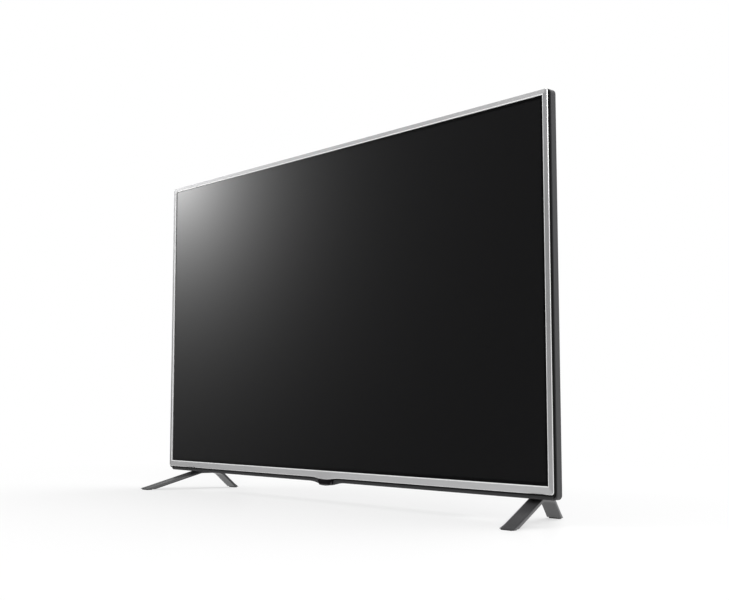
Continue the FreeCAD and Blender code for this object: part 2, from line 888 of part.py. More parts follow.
def led_backlight():
    bars = []
    reach = "led_column_pitch * (led_columns - 1) / 2 + led_bar_width"
    for row in range(int(number("led_rows"))):
        up = f"screen_bottom + screen_height / 2 + led_row_pitch * ({row} - (led_rows - 1) / 2)"
        bars.append(block("led_bar", (f"-({reach})", reach), ("bar_front", "tray_floor"),
                          (f"{up} - led_bar_width / 2", f"{up} + led_bar_width / 2")))
    keep(gather("led_bars", bars), "led_bars")
    lenses = [prism("led_lens", "Y", (across, "bar_front - lens_height", up), "lens_radius", "lens_height")
              for across, up in led_places()]
    keep(gather("led_lenses", lenses), "led_lenses")
    supports = []
    for rise in (-1, 1):
        for side in (-1, 0, 1):
            place = (f"{side} * support_place + led_column_pitch / 2 * {1 - abs(side)}", "diffuser_back",
                     f"screen_bottom + screen_height / 2 + {rise} * support_rise")
            supports.append(pillar("diffuser_support", place, "support_tip_radius", "support_base_radius",
                                   "reflector_front - diffuser_back"))
    keep(gather("diffuser_supports", supports), "diffuser_supports")


# Rear cover


def cover_form(name, inset, lead):
    # The cover's whole form, or with one wall's inset the hollow inside it
    body = make_body(name)
    half = f"cover_half - {inset}"
    outline, bulge_outline = (framed, stepped) if inset == "0" else (clipped, clipped)
    edge = outline(half, f"cover_bottom + {inset}", f"cover_top - {inset}", f"(cover_corner - {inset})")
    shrink = f"cover_slope + {inset}"
    flat = outline(f"cover_half - ({shrink})", f"cover_bottom + {shrink}", f"cover_top - ({shrink})",
                   f"(bulge_corner - {inset})")
    pad(body, draw(body, name + "_side", "XZ", f"cover_front - {lead}", edge), f"cover_side_depth + {lead}")
    loft(body, draw(body, name + "_shoulder", "XZ", "cover_edge", edge),
         draw(body, name + "_flat", "XZ", f"cover_flat - {inset}", flat))
    foot = f"bulge_draft - {inset}"
    loft(body, draw(body, name + "_bulge_foot", "XZ", "bulge_start",
                    bulge_outline(f"bulge_half_width + {foot}", f"bulge_bottom - ({foot})",
                                  f"bulge_top + {foot}", f"(bulge_corner - {inset})")),
         draw(body, name + "_bulge_back", "XZ", f"cover_back - {inset}",
              bulge_outline(f"bulge_half_width - {inset}", f"bulge_bottom + {inset}", f"bulge_top - {inset}",
                            f"(bulge_corner - {inset})")))
    low = f"cover_bottom + {inset}"
    front = "cover_front + cover_lip_depth"
    block_profile = [
        (front, low),
        (f"front_plane + foot_block_rear - {inset}", low),
        (f"front_plane + foot_block_rear - {inset}", "foot_block_shoulder"),
        (f"cover_flat - {inset}", f"foot_block_top - {inset}"),
        (front, f"foot_block_top - {inset}"),
    ]
    for side in (-1, 1):
        ends = (f"{side} * (foot_block_inner + {inset})", f"{side} * (foot_block_outer - {inset})")
        ends = sorted(ends, key=number)
        flank = draw(body, name + "_foot_block", "YZ", ends[0], block_profile)
        pad(body, flank, "foot_block_outer - foot_block_inner - 2 * " + inset)
    chin = square(front, f"front_plane + chin_box_rear - {inset}", low, "chin_box_top")
    chin_flank = draw(body, name + "_chin_box", "YZ", f"-chin_box_half + {inset}", chin)
    pad(body, chin_flank, f"2 * (chin_box_half - {inset})")
    return body


def foot_middle(side, depth):
    # Where the middle of a splayed foot lies across the set, at one depth
    return f"{side} * (foot_centre - foot_lean * ({depth}))"


def foot_screw_posts(name, side, radius, low, high):
    depths = [f"foot_screw_front + foot_screw_pitch * {step}" for step in range(2)]
    posts = [prism(name + "_post", "Z", (foot_middle(side, depth), depth, low), radius, f"({high}) - ({low})")
             for depth in depths]
    return gather(name, posts)


def speaker_peg_places():
    for side in (-1, 1):
        for way in (-1, 1):
            middle = f"{side} * (speaker_inner + speaker_length / 2)"
            yield (f"{middle} + {way} * (speaker_length / 2 + ear_length / 2)",
                   "speaker_ear_level")


def rear_cover():
    outside = cover_form("cover_outside", "0", "0")
    inside = cover_form("cover_inside", "cover_wall", "overrun")
    lip = make_body("cover_lip")
    reach = "(cover_half - cover_corner)"
    lip_line = [(f"-{reach}", "cover_bottom")]
    lip_line += dip_outline("chin_half_width", "chin_depth", "cover_bottom")
    lip_line += [(reach, "cover_bottom"), (reach, "cover_bottom + cover_lip_height"),
                 (f"-{reach}", "cover_bottom + cover_lip_height")]
    pad(lip, draw(lip, "lip_line", "XZ", "cover_front", lip_line), "cover_lip_depth")
    bosses = [prism("cover_boss", "Y", (across, "cover_boss_front", up), "cover_boss_radius",
                    "cover_flat - cover_boss_front - cover_wall / 2") for across, up in cover_screw_places()]
    ends = []
    for low, high in (("bay_bottom - cover_wall", "bay_bottom"), ("bay_top", "bay_top + cover_wall")):
        ends.append(block("bay_end", ("-bulge_half_width", "bay_side + cover_wall"),
                          ("board_back + fit_gap", "cover_back - cover_wall / 2"), (low, high)))
    low = "cover_bottom + cover_wall / 2"
    posts = [prism("button_post", "Z", (f"{side} * button_post_place", "cap_middle", low), "button_post_radius",
                   f"button_board_level - ({low})") for side in (-1, 1)]
    pegs = [prism("speaker_peg", "Y", (across, "speaker_front - overrun", up), "bush_bore - bush_clearance",
                  "cover_back - cover_wall / 2 - speaker_front + overrun")
            for across, up in speaker_peg_places()]
    moulding = fuse("cover_moulding", cut("cover_shell", outside, inside), lip, *bosses, *ends, *posts, *pegs)
    foot_holes = [foot_screw_posts("cover_foot_hole", side, "foot_screw_radius + screw_clearance",
                                   "cover_bottom - overrun", "cover_bottom + cover_wall + overrun")
                  for side in (-1, 1)]
    drilled = cut("cover_drilled", moulding, *foot_holes)
    body = make_body("rear_cover")
    body.BaseFeature = drilled
    recesses = [many_sided(across, up, "cover_recess_radius", twelve) for across, up in cover_screw_places()]
    pocket(body, draw(body, "screw_recesses", "XZ", "cover_screw_seat", *recesses),
           "cover_flat - cover_screw_seat + overrun")
    holes = [many_sided(across, up, "(cover_screw_radius + screw_clearance)")
             for across, up in cover_screw_places()]
    pocket(body, draw(body, "screw_holes", "XZ", "cover_boss_front - overrun", *holes),
           "cover_screw_floor + 2 * overrun")
    behind = "cover_back - cover_wall - overrun"
    wall_holes = [many_sided(across, up, "(wall_boss_radius + wall_boss_clearance)", twelve)
                  for across, up in wall_places()]
    pocket(body, draw(body, "wall_mount_holes", "XZ", behind, *wall_holes), "cover_wall + 2 * overrun")
    bay = square("-bulge_half_width - bulge_draft - jack_overlap", "bay_side", "bay_bottom", "bay_top")
    pocket(body, draw(body, "jack_bay", "XZ", "cover_flat", bay), "bulge_depth + overrun")
    wide = "(inlet_width / 2 + fit_gap)"
    tall = "(inlet_height / 2 + fit_gap)"
    inlet = square(f"inlet_place_side - {wide}", f"inlet_place_side + {wide}",
                   f"inlet_place - {tall}", f"inlet_place + {tall}")
    pocket(body, draw(body, "inlet_opening", "XZ", behind, inlet), "cover_wall + 2 * overrun")
    around_cap = many_sided("0", "cap_middle", "(cap_radius + button_tilt_room)", finest)
    pocket(body, draw(body, "button_opening", "XY", "cover_bottom - overrun", around_cap),
           "cover_wall + 2 * overrun")
    guide = square("guide_place - guide_width / 2 - fit_gap", "guide_place + guide_width / 2 + fit_gap",
                   "guide_level - fit_gap / 2", "guide_level + guide_height + fit_gap")
    pocket(body, draw(body, "guide_opening", "XZ", "cover_front - overrun", guide),
           "cover_lip_depth + 2 * overrun")
    first = "-slot_pitch * (slot_count - 1) / 2"
    slot = square(f"{first} - slot_width / 2", f"{first} + slot_width / 2",
                  "slot_bottom", "slot_bottom + slot_height")
    air = pocket(body, draw(body, "air_slot", "XZ", "cover_flat - cover_wall - overrun", slot),
                 "cover_wall + 2 * overrun")
    row_of(body, air, "X_Axis", "slot_pitch * (slot_count - 1)", "slot_count")
    for side in (-1, 1):
        middle = f"{side} * (speaker_inner + speaker_length / 2)"
        first = f"{middle} - speaker_slot_pitch * (speaker_slot_count - 1) / 2"
        rear = "cover_back - cover_wall - speaker_slot_inset"
        slot = square(f"{first} - speaker_slot_width / 2", f"{first} + speaker_slot_width / 2",
                      f"{rear} - speaker_slot_length", rear)
        voice = pocket(body, draw(body, "speaker_slot", "XY", "bulge_bottom - bulge_draft - overrun", slot),
                       "bulge_draft + cover_wall + 2 * overrun")
        row_of(body, voice, "X_Axis", "speaker_slot_pitch * (speaker_slot_count - 1)", "speaker_slot_count")
    keep(body, "rear_cover")


def cover_screws():
    screws = []
    for across, up in cover_screw_places():
        head = prism("cover_screw_head", "Y", (across, "cover_screw_seat", up), "cover_screw_head_radius",
                     "cover_screw_head_height")
        point = (across, "tray_back - cover_screw_point", up)
        shank = prism("cover_screw_shank", "Y", point, "cover_screw_radius",
                      "cover_screw_point + cover_screw_floor + cover_screw_head_height / 2")
        screws.append(fuse("cover_screw", head, shank))
    keep(gather("rear_cover_screws", screws), "rear_cover_screws")


# Wall mount


def wall_places():
    for side in (-1, 1):
        for rise in (-1, 1):
            yield f"{side} * wall_pattern / 2", f"wall_centre + {rise} * wall_pattern / 2"


def wall_mount():
    rails = []
    for side in (-1, 1):
        middle = f"{side} * wall_pattern / 2"
        hat = [
            (f"{middle} - rail_crown / 2 - rail_flange", "tray_back"),
            (f"{middle} - rail_crown / 2 + rail_sheet", "tray_back"),
            (f"{middle} - rail_crown / 2 + rail_sheet", "tray_back + rail_height - rail_sheet"),
            (f"{middle} + rail_crown / 2 - rail_sheet", "tray_back + rail_height - rail_sheet"),
            (f"{middle} + rail_crown / 2 - rail_sheet", "tray_back"),
            (f"{middle} + rail_crown / 2 + rail_flange", "tray_back"),
            (f"{middle} + rail_crown / 2 + rail_flange", "tray_back + rail_sheet"),
            (f"{middle} + rail_crown / 2", "tray_back + rail_sheet"),
            (f"{middle} + rail_crown / 2", "tray_back + rail_height"),
            (f"{middle} - rail_crown / 2", "tray_back + rail_height"),
            (f"{middle} - rail_crown / 2", "tray_back + rail_sheet"),
            (f"{middle} - rail_crown / 2 - rail_flange", "tray_back + rail_sheet"),
        ]
        low = "wall_centre - wall_pattern / 2 - rail_overhang"
        rails.append(plate("wall_rail", "XY", low, "wall_pattern + 2 * rail_overhang", hat))
    keep(gather("wall_mount_rails", rails), "wall_mount_rails")
    bosses = []
    for across, up in wall_places():
        post = prism("wall_boss_post", "Y", (across, "tray_back + rail_height", up), "wall_boss_radius",
                     "cover_back - tray_back - rail_height", twelve)
        bore = rod("wall_boss_bore", "Y", (across, "cover_back - wall_screw_depth", up), "wall_screw_radius",
                   "wall_screw_depth + overrun")
        bosses.append(cut("wall_boss", post, bore))
    keep(gather("wall_mount_bosses", bosses), "wall_mount_bosses")


# Feet


def foot(label, side):
    # A bent bar: a flat crest under the cabinet, a long flat leg in front and a short steep one behind.
    # Seen from above the bar leans outwards to the front, and its ends are cut parallel to the screen.
    half = "foot_reach / 2"
    drop = "(cover_bottom - foot_tip_height)"
    front_angle = f"atan({drop} / ({half} + foot_bend_front))"
    rear_angle = f"atan({drop} / ({half} - foot_bend_rear))"
    under = "cover_bottom - foot_thickness"

    def bend_points(corner, angle, way):
        # Start and end of the bend at one end of the crest, on the top and on the underside
        reach = f"foot_bend_radius * tan({angle} / 2)"
        top_flat = (f"{corner} - {way} * {reach}", "cover_bottom")
        top_leg = (f"{corner} + {way} * {reach} * cos({angle})", f"cover_bottom - {reach} * sin({angle})")
        low_flat = (top_flat[0], under)
        low_leg = (f"{top_leg[0]} - {way} * foot_thickness * sin({angle})",
                   f"{top_leg[1]} - foot_thickness * cos({angle})")
        return top_flat, top_leg, low_flat, low_leg

    def heel(angle):
        # Where the underside of a leg comes down to its pad
        return f"{half} + (foot_tip_height - pad_thickness) / tan({angle}) - foot_thickness / sin({angle})"

    rear = bend_points("foot_bend_rear", rear_angle, "1")
    front = bend_points("foot_bend_front", front_angle, "-1")
    outer = "foot_bend_radius"
    inner = "(foot_bend_radius - foot_thickness)"
    profile = [
        (f"-({half})", "pad_thickness"),
        (f"-({heel(front_angle)})", "pad_thickness"),
        (*front[3], inner, -1),
        front[2],
        (*rear[2], inner, -1),
        rear[3],
        (heel(rear_angle), "pad_thickness"),
        (half, "pad_thickness"),
        (half, "foot_tip_height"),
        (*rear[1], outer, 1),
        rear[0],
        (*front[0], outer, 1),
        front[1],
        (f"-({half})", "foot_tip_height"),
    ]
    slab = make_body(label + "_slab")
    arch = draw(slab, label + "_arch", "YZ", f"{side} * foot_centre - foot_spread", profile)
    pad(slab, arch, "2 * foot_spread")
    plan = []
    for depth, way in ((f"-({half}) - overrun", -1), (f"-({half}) - overrun", 1),
                       (f"{half} + overrun", 1), (f"{half} + overrun", -1)):
        plan.append((f"{foot_middle(side, depth)} + {way} * foot_width / 2", depth))
    bar = doc.addObject("Part::Common", label + "_common")
    bar.Base = slab
    bar.Tool = plate(label + "_plan", "XY", "0", "cover_bottom + overrun", plan)
    doc.recompute()
    body = make_body(label + "_bar")
    body.BaseFeature = bar
    flank = number("foot_width") / 2
    inset = number("foot_edge_chamfer") / 2

    def upper_edge(edge):
        # True for the edges along both flanks on the upper face, which have material below them
        marks = [edge.valueAt(edge.FirstParameter), edge.CenterOfMass, edge.valueAt(edge.LastParameter)]
        away = [mark.x - number(foot_middle(side, mark.y)) for mark in (marks[0], marks[-1])]
        if not all(between(abs(gap), flank, flank) for gap in away) or abs(marks[0].y - marks[-1].y) < inset:
            return False
        way = 1 if away[0] < 0 else -1
        return bar.Shape.isInside(marks[1] + Vector(way * inset, 0, -inset), 0.001, True)

    dress(body, "Chamfer", label + "_edges", "foot_edge_chamfer", upper_edge)
    below = f"{under} - overrun"
    holes = foot_screw_posts(label + "_hole", side, "foot_screw_radius + screw_clearance", below,
                             "cover_bottom + overrun")
    heads = foot_screw_posts(label + "_sink", side, "foot_screw_head_radius + screw_clearance", below,
                             f"{under} + foot_screw_head_height + fit_gap")
    keep(cut(label + "_bored", body, fuse(label + "_bores", holes, heads)), label)


def foot_fittings():
    pads = []
    screws = []
    brackets = []
    half = "foot_reach / 2"
    seat = "cover_bottom - foot_thickness + foot_screw_head_height + fit_gap"
    floor = "cover_bottom + cover_wall"
    for side in (-1, 1):
        front_ends = (f"-({half})", f"-({half}) + front_pad_length")
        rear_ends = (f"{half} - rear_pad_length", half)
        for low, high in (front_ends, rear_ends):
            middle = foot_middle(side, f"(({low}) + ({high})) / 2")
            pads.append(block("foot_pad", (f"{middle} - pad_width / 2", f"{middle} + pad_width / 2"),
                              (low, high), ("0", "pad_thickness")))
        heads = foot_screw_posts("foot_screw_heads", side, "foot_screw_head_radius",
                                 f"{seat} - foot_screw_head_height", seat)
        shanks = foot_screw_posts("foot_screw_shanks", side, "foot_screw_radius",
                                  f"{seat} - foot_screw_head_height / 2",
                                  f"{floor} + bracket_sheet + foot_screw_point")
        screws.append(fuse("foot_screw_pair", heads, shanks))
        inner = "foot_block_inner + cover_wall + fit_gap"
        ends = sorted((f"{side} * ({inner})", f"{side} * ({inner} + bracket_width)"), key=number)
        outer = "foot_block_outer - cover_wall - fit_gap"
        wide = sorted((f"{side} * ({inner})", f"{side} * ({outer})"), key=number)
        rear = "front_plane + foot_block_rear - cover_wall - fit_gap"
        sole = block("bracket_sole", wide, ("cover_edge", rear), (floor, f"{floor} + bracket_sheet"))
        rise = block("bracket_rise", ends, ("tray_back", "tray_back + bracket_sheet"),
                     (floor, "bracket_rise"))
        bosses = foot_screw_posts("bracket_bosses", side, "bracket_boss_radius",
                                  f"{floor} + bracket_sheet / 2",
                                  f"{floor} + bracket_sheet + bracket_boss_height")
        bores = foot_screw_posts("bracket_bores", side, "foot_screw_radius + screw_clearance",
                                 f"{floor} - overrun",
                                 f"{floor} + bracket_sheet + bracket_boss_height + overrun")
        brackets.append(cut("foot_bracket", fuse("bracket_steel", sole, rise, bosses), bores))
    keep(gather("foot_pads", pads), "foot_pads")
    keep(gather("foot_screws", screws), "foot_screws")
    keep(gather("foot_brackets", brackets), "foot_brackets")


# Circuit boards and what stands on them


def board_corners(left, right, bottom, top, left_margin="board_margin"):
    for across in (f"{left} + {left_margin}", f"{right} - board_margin"):
        for up in (f"{bottom} + board_margin", f"{top} - board_margin"):
            yield across, up


boards = {
    "main_board": ("-main_board_outer", "-main_board_inner", "main_board_bottom", "main_board_top",
                   "main_board_screw_inset"),
    "power_board": ("power_board_inner", "power_board_outer", "power_board_bottom", "power_board_top"),
    "timing_board": ("-timing_board_half", "timing_board_half", "timing_board_bottom", "timing_board_top"),
}


def circuit_boards():
    standoffs = []
    screws = []
    for name, edges in boards.items():
        corners = list(board_corners(*edges))
        holes = [many_sided(across, up, "(board_screw_radius + screw_clearance)") for across, up in corners]
        keep(plate(name, "XZ", "board_front", "board_thickness", square(*edges[:4]), *holes), name)
        for across, up in corners:
            post = prism("standoff_post", "Y", (across, "tray_back", up), "standoff_radius",
                         "standoff_height")
            bore = prism("standoff_bore", "Y", (across, "board_front - board_screw_point", up),
                         "board_screw_radius + screw_clearance", "board_screw_point + overrun")
            standoffs.append(cut("board_standoff", post, bore))
            head = prism("board_screw_head", "Y", (across, "board_back", up), "board_screw_head_radius",
                         "board_screw_head_height")
            shank = prism("board_screw_shank", "Y", (across, "board_front - board_screw_point + fit_gap", up),
                          "board_screw_radius", "board_screw_point + board_thickness")
            screws.append(fuse("board_screw", head, shank))
    keep(gather("board_standoffs", standoffs), "board_standoffs")
    keep(gather("board_screws", screws), "board_screws")


def finned_sink(name, left, bottom, width, length):
    # An extrusion with its fins side by side, drawn across and run up the board
    count = int((number(width) - number("sink_fin")) / number("sink_fin_pitch")) + 1
    back = "board_back + sink_depth"
    right = f"{left} + {width}"
    profile = [(left, "board_back"), (right, "board_back"), (right, "board_back + sink_base")]
    last = f"{left} + sink_fin + sink_fin_pitch * {count - 1}"
    if number(last) < number(right) - 0.01:
        profile.append((last, "board_back + sink_base"))
    profile.append((last, back))
    for fin in range(count - 1, 0, -1):
        this_fin = f"{left} + sink_fin_pitch * {fin}"
        next_fin = f"{left} + sink_fin + sink_fin_pitch * {fin - 1}"
        profile += [(this_fin, back), (this_fin, "board_back + sink_base"),
                    (next_fin, "board_back + sink_base"), (next_fin, back)]
    profile.append((left, back))
    return plate(name, "XY", bottom, length, profile)


def main_board_parts():
    edge = "-main_board_outer"
    bottom = "main_board_bottom"
    sink = finned_sink("main_heat_sink", f"{edge} + main_sink_inset", f"{bottom} + main_sink_rise",
                       "sink_width", "sink_length")
    keep(sink, "main_heat_sink")
    chips = []
    for inset, rise, side in (
        ("memory_inset", "memory_rise", "memory_side"),
        ("memory_inset", "memory_rise + memory_pitch", "memory_side"),
        ("amplifier_inset", "amplifier_rise", "chip_side"),
        ("flash_inset", "flash_rise", "memory_side"),
        ("switch_inset", "switch_rise", "memory_side"),
    ):
        across = f"{edge} + {inset}"
        up = f"{bottom} + {rise}"
        chips.append(block("chip", (f"{across} - {side} / 2", f"{across} + {side} / 2"),
                           ("board_back", "board_back + chip_height"),
                           (f"{up} - {side} / 2", f"{up} + {side} / 2")))
    keep(gather("main_chips", chips), "main_chips")
    near = "bay_side + tuner_inset"
    low = "antenna_place - tuner_drop"
    tuner = block("tuner_can", (near, f"{near} + tuner_width"), ("board_back", "board_back + tuner_height"),
                  (low, f"{low} + tuner_length"))
    keep(tuner, "tuner_can")


def power_board_parts():
    left = "power_board_inner"
    right = "power_board_outer"
    bottom = "power_board_bottom"
    cans = []
    for step in range(3):
        across = f"{left} + capacitor_inset + capacitor_pitch * {step}"
        cans.append(prism("capacitor", "Y", (across, "board_back", f"{bottom} + capacitor_rise"),
                          "capacitor_radius", "capacitor_height", octagon))
    keep(gather("power_capacitors", cans), "power_capacitors")
    across = f"{left} + transformer_inset"
    up = f"{bottom} + transformer_rise"
    winding = block("winding", (f"{across} - transformer_width / 2", f"{across} + transformer_width / 2"),
                    ("board_back + winding_inset", "board_back + transformer_depth - winding_inset"),
                    (f"{up} - transformer_core", f"{up} + transformer_core"))
    core = block("core", (f"{across} - transformer_core", f"{across} + transformer_core"),
                 ("board_back", "board_back + transformer_depth"),
                 (f"{up} - transformer_height / 2", f"{up} + transformer_height / 2"))
    keep(fuse("power_transformer", winding, core), "power_transformer")
    sinks = [finned_sink("power_sink", f"{right} - power_sink_inset",
                         f"{bottom} + power_sink_rise + power_sink_pitch * {step}", "power_sink_width",
                         "power_sink_length") for step in range(2)]
    keep(gather("power_heat_sinks", sinks), "power_heat_sinks")
    coils = []
    for step in range(2):
        across = f"{right} - coil_inset"
        up = f"{bottom} + coil_rise + coil_pitch * {step}"
        ring = prism("coil_ring", "Y", (across, "board_back", up), "coil_radius", "coil_depth", octagon)
        eye = prism("coil_eye", "Y", (across, "board_back - overrun", up), "coil_bore",
                    "coil_depth + 2 * overrun", octagon)
        coils.append(cut("coil", ring, eye))
    keep(gather("power_coils", coils), "power_coils")


def wireless_module():
    left = "-wifi_place - wifi_side"
    top = "tray_back + board_thickness"
    inset = "wifi_shield_inset"
    card = block("wifi_card", (left, "-wifi_place"), ("tray_back", top),
                 ("wifi_bottom", "wifi_bottom + wifi_height"))
    shield = block("wifi_shield", (f"{left} + {inset}", f"-wifi_place - 2 * {inset}"),
                   (f"{top} - board_thickness / 2", f"{top} + chip_height"),
                   (f"wifi_bottom + {inset}", f"wifi_bottom + wifi_height - {inset}"))
    keep(fuse("wifi_module", card, shield), "wifi_module")


# Connector bay


def side_socket(name, middle, width, height, length, tongue):
    # A socket that opens towards -X, with a tongue of its own on its floor
    base = "board_back"
    rise = "board_back + socket_rise"
    shell = block(name + "_shell", ("bay_side", f"bay_side + {length}"),
                  (base, f"{rise} + {height} + socket_wall"),
                  (f"{middle} - {width} / 2 - socket_wall", f"{middle} + {width} / 2 + socket_wall"))
    mouth = block(name + "_mouth", ("bay_side - overrun", f"bay_side + {length} - socket_floor"),
                  (rise, f"{rise} + {height}"), (f"{middle} - {width} / 2", f"{middle} + {width} / 2"))
    hollow = cut(name + "_case", shell, mouth)
    if not tongue:
        return hollow
    level = f"{rise} + {height} / 2"
    blade = block(name + "_tongue", ("bay_side + tongue_setback", f"bay_side + {length} - socket_floor / 2"),
                  (f"{level} - socket_tongue / 2", f"{level} + socket_tongue / 2"),
                  (f"{middle} - {width} / 2 + tongue_inset", f"{middle} + {width} / 2 - tongue_inset"))
    return fuse(name, hollow, blade)


def socket_window(middle, width, height):
    return block("socket_window", ("bay_side - jack_sheet - overrun", "bay_side + overrun"),
                 ("board_back + socket_rise", f"board_back + socket_rise + {height}"),
                 (f"{middle} - {width} / 2", f"{middle} + {width} / 2"))


def jack_places():
    yield "antenna_place", "antenna_flange"
    for step in range(int(number("phono_count"))):
        yield f"phono_first + phono_pitch * {step}", "phono_radius"


def connector_bay():
    hdmi = [side_socket("hdmi_port", f"hdmi_first - hdmi_pitch * {step}", "hdmi_width", "hdmi_height",
                        "hdmi_length", True) for step in range(2)]
    keep(gather("hdmi_ports", hdmi), "hdmi_ports")
    keep(side_socket("usb_port", "usb_place", "usb_width", "usb_height", "usb_length", True), "usb_port")
    keep(side_socket("optical_port", "optical_place", "optical_width", "optical_height", "optical_length",
                     False), "optical_port")
    # An angled panel closes the bay: its sole lies on the flat of the cover, its side stands under the bulge
    low = "bay_bottom + fit_gap"
    high = "bay_top - fit_gap"
    outer = "-bulge_half_width - bulge_draft - jack_overlap / 2"
    angle = [
        (outer, "cover_flat"), ("bay_side", "cover_flat"), ("bay_side", "cover_back - fit_gap"),
        ("bay_side - jack_sheet", "cover_back - fit_gap"), ("bay_side - jack_sheet", "cover_flat + jack_sheet"),
        (outer, "cover_flat + jack_sheet"),
    ]
    panel = plate("jack_angle", "XY", low, f"{high} - ({low})", angle)
    windows = [socket_window(f"hdmi_first - hdmi_pitch * {step}", "hdmi_width", "hdmi_height")
               for step in range(2)]
    windows.append(socket_window("usb_place", "usb_width", "usb_height"))
    windows.append(socket_window("optical_place", "optical_width", "optical_height"))
    across = "bay_side - jack_setback"
    for up, radius in jack_places():
        windows.append(prism("jack_window", "Y", (across, "cover_flat - overrun", up), f"{radius} + fit_gap",
                             "jack_sheet + 2 * overrun", twelve))
    keep(cut("jack_panel", panel, *windows), "jack_panel")
    flange = prism("antenna_base", "Y", (across, "board_back", "antenna_place"), "antenna_flange",
                   "cover_flat + jack_sheet - board_back", twelve)
    barrel = rod("antenna_barrel", "Y", (across, "cover_flat", "antenna_place"), "antenna_radius",
                 "jack_sheet + antenna_length")
    bore = rod("antenna_hole", "Y", (across, "cover_flat + jack_sheet", "antenna_place"), "antenna_bore",
               "antenna_length + overrun")
    keep(cut("antenna_bored", fuse("antenna_body", flange, barrel), bore), "antenna_socket")
    phonos = []
    for up, radius in list(jack_places())[1:]:
        barrel = prism("phono_barrel", "Y", (across, "board_back", up), radius,
                       "cover_flat + jack_sheet + phono_length - board_back", twelve)
        eye = prism("phono_eye", "Y", (across, "cover_flat + jack_sheet", up), "phono_bore",
                    "phono_length + overrun", octagon)
        phonos.append(cut("phono_jack", barrel, eye))
    keep(gather("av_jacks", phonos), "av_jacks")


def mains_inlet():
    across = "inlet_place_side"
    body = block("inlet_body", (f"{across} - inlet_width / 2", f"{across} + inlet_width / 2"),
                 ("board_back", "cover_back"),
                 ("inlet_place - inlet_height / 2", "inlet_place + inlet_height / 2"))
    floor = "cover_back - inlet_mouth_depth"
    lobes = [rod("inlet_lobe", "Y", (f"{across} + {side} * inlet_mouth_pitch / 2", floor, "inlet_place"),
                 "inlet_mouth_radius", "inlet_mouth_depth + overrun") for side in (-1, 1)]
    half_waist = "(inlet_mouth_radius - inlet_waist_inset)"
    waist = block("inlet_waist", (f"{across} - inlet_mouth_pitch / 2", f"{across} + inlet_mouth_pitch / 2"),
                  (floor, "cover_back + overrun"),
                  (f"inlet_place - {half_waist}", f"inlet_place + {half_waist}"))
    keep(cut("ac_inlet", body, fuse("inlet_mouth", waist, *lobes)), "ac_inlet")
    pins = [prism("inlet_pin", "Y", (f"{across} + {side} * inlet_pin_pitch / 2", floor, "inlet_place"),
                  "inlet_pin_radius", "inlet_pin_length", octagon) for side in (-1, 1)]
    keep(gather("ac_pins", pins), "ac_pins")


# Speakers


def speakers():
    cones = []
    bushes = []
    deep = "speaker_back - speaker_depth / 2"
    ear_levels = ("speaker_ear_level - ear_height / 2", "speaker_ear_level + ear_height / 2")
    for side, label in ((-1, "left_speaker"), (1, "right_speaker")):
        middle = f"{side} * (speaker_inner + speaker_length / 2)"
        box = block(label + "_box", (f"{middle} - speaker_length / 2", f"{middle} + speaker_length / 2"),
                    ("speaker_front", "speaker_back"), ("speaker_bottom", "speaker_bottom + speaker_height"))
        seats = [prism(label + "_seat", "Z", (middle, deep, "speaker_bottom - overrun"),
                       "cone_radius + fit_gap", "cone_depth + overrun", twelve)]
        ears = []
        for way in (-1, 1):
            ends = sorted((f"{middle} + {way} * (speaker_length / 2 - overrun)",
                           f"{middle} + {way} * (speaker_length / 2 + ear_length)"), key=number)
            ears.append(block("speaker_ear", ends, ("speaker_front", "speaker_front + ear_depth"),
                              ear_levels))
            across = f"{middle} + {way} * (speaker_length / 2 + ear_length / 2)"
            before = (across, "speaker_front - overrun", "speaker_ear_level")
            seats.append(prism("bush_seat", "Y", before, "bush_radius", "ear_depth + 2 * overrun"))
            ring = prism("bush_ring", "Y", (across, "speaker_front", "speaker_ear_level"), "bush_radius",
                         "ear_depth")
            eye = prism("bush_eye", "Y", before, "bush_bore", "ear_depth + 2 * overrun")
            bushes.append(cut("speaker_bush", ring, eye))
        keep(cut(label + "_drilled", fuse(label + "_case", box, *ears), *seats), label)
        rim = prism("cone_rim", "Z", (middle, deep, "speaker_bottom"), "cone_radius", "cone_depth / 2", twelve)
        dome = prism("cone_dome", "Z", (middle, deep, "speaker_bottom"), "cone_radius / 2", "cone_depth",
                     twelve)
        cones.append(fuse("speaker_cone", rim, dome))
    keep(gather("speaker_cones", cones), "speaker_cones")
    keep(gather("speaker_bushes", bushes), "speaker_bushes")


# Flat cables inside the set


def flat_cables():
    # From each source board through the slot in the frame, back under the pan and up to the timing board
    under = "screen_bottom + pan_inset + pan_draw - tray_sheet - ribbon_drop"
    top = "timing_board_bottom - ribbon_end"
    turn = "tray_lip_back + ribbon_lead"
    near = "tray_back + ribbon_clearance"
    far = f"{near} + ribbon_thickness"
    start = "cell_back + fit_gap"
    low = "ribbon_level - ribbon_thickness"
    outline = [(start, "ribbon_level"), (turn, "ribbon_level"), (near, under), (near, top),
               (far, top), (far, under), (turn, low), (start, low)]
    ribbons = [plate("panel_ribbon", "YZ", f"{side} * ribbon_place - ribbon_width / 2", "ribbon_width",
                     outline) for side in (-1, 1)]
    keep(gather("panel_flat_cables", ribbons), "panel_flat_cables")


# Sensor window, remote sensor and four-way button in the chin


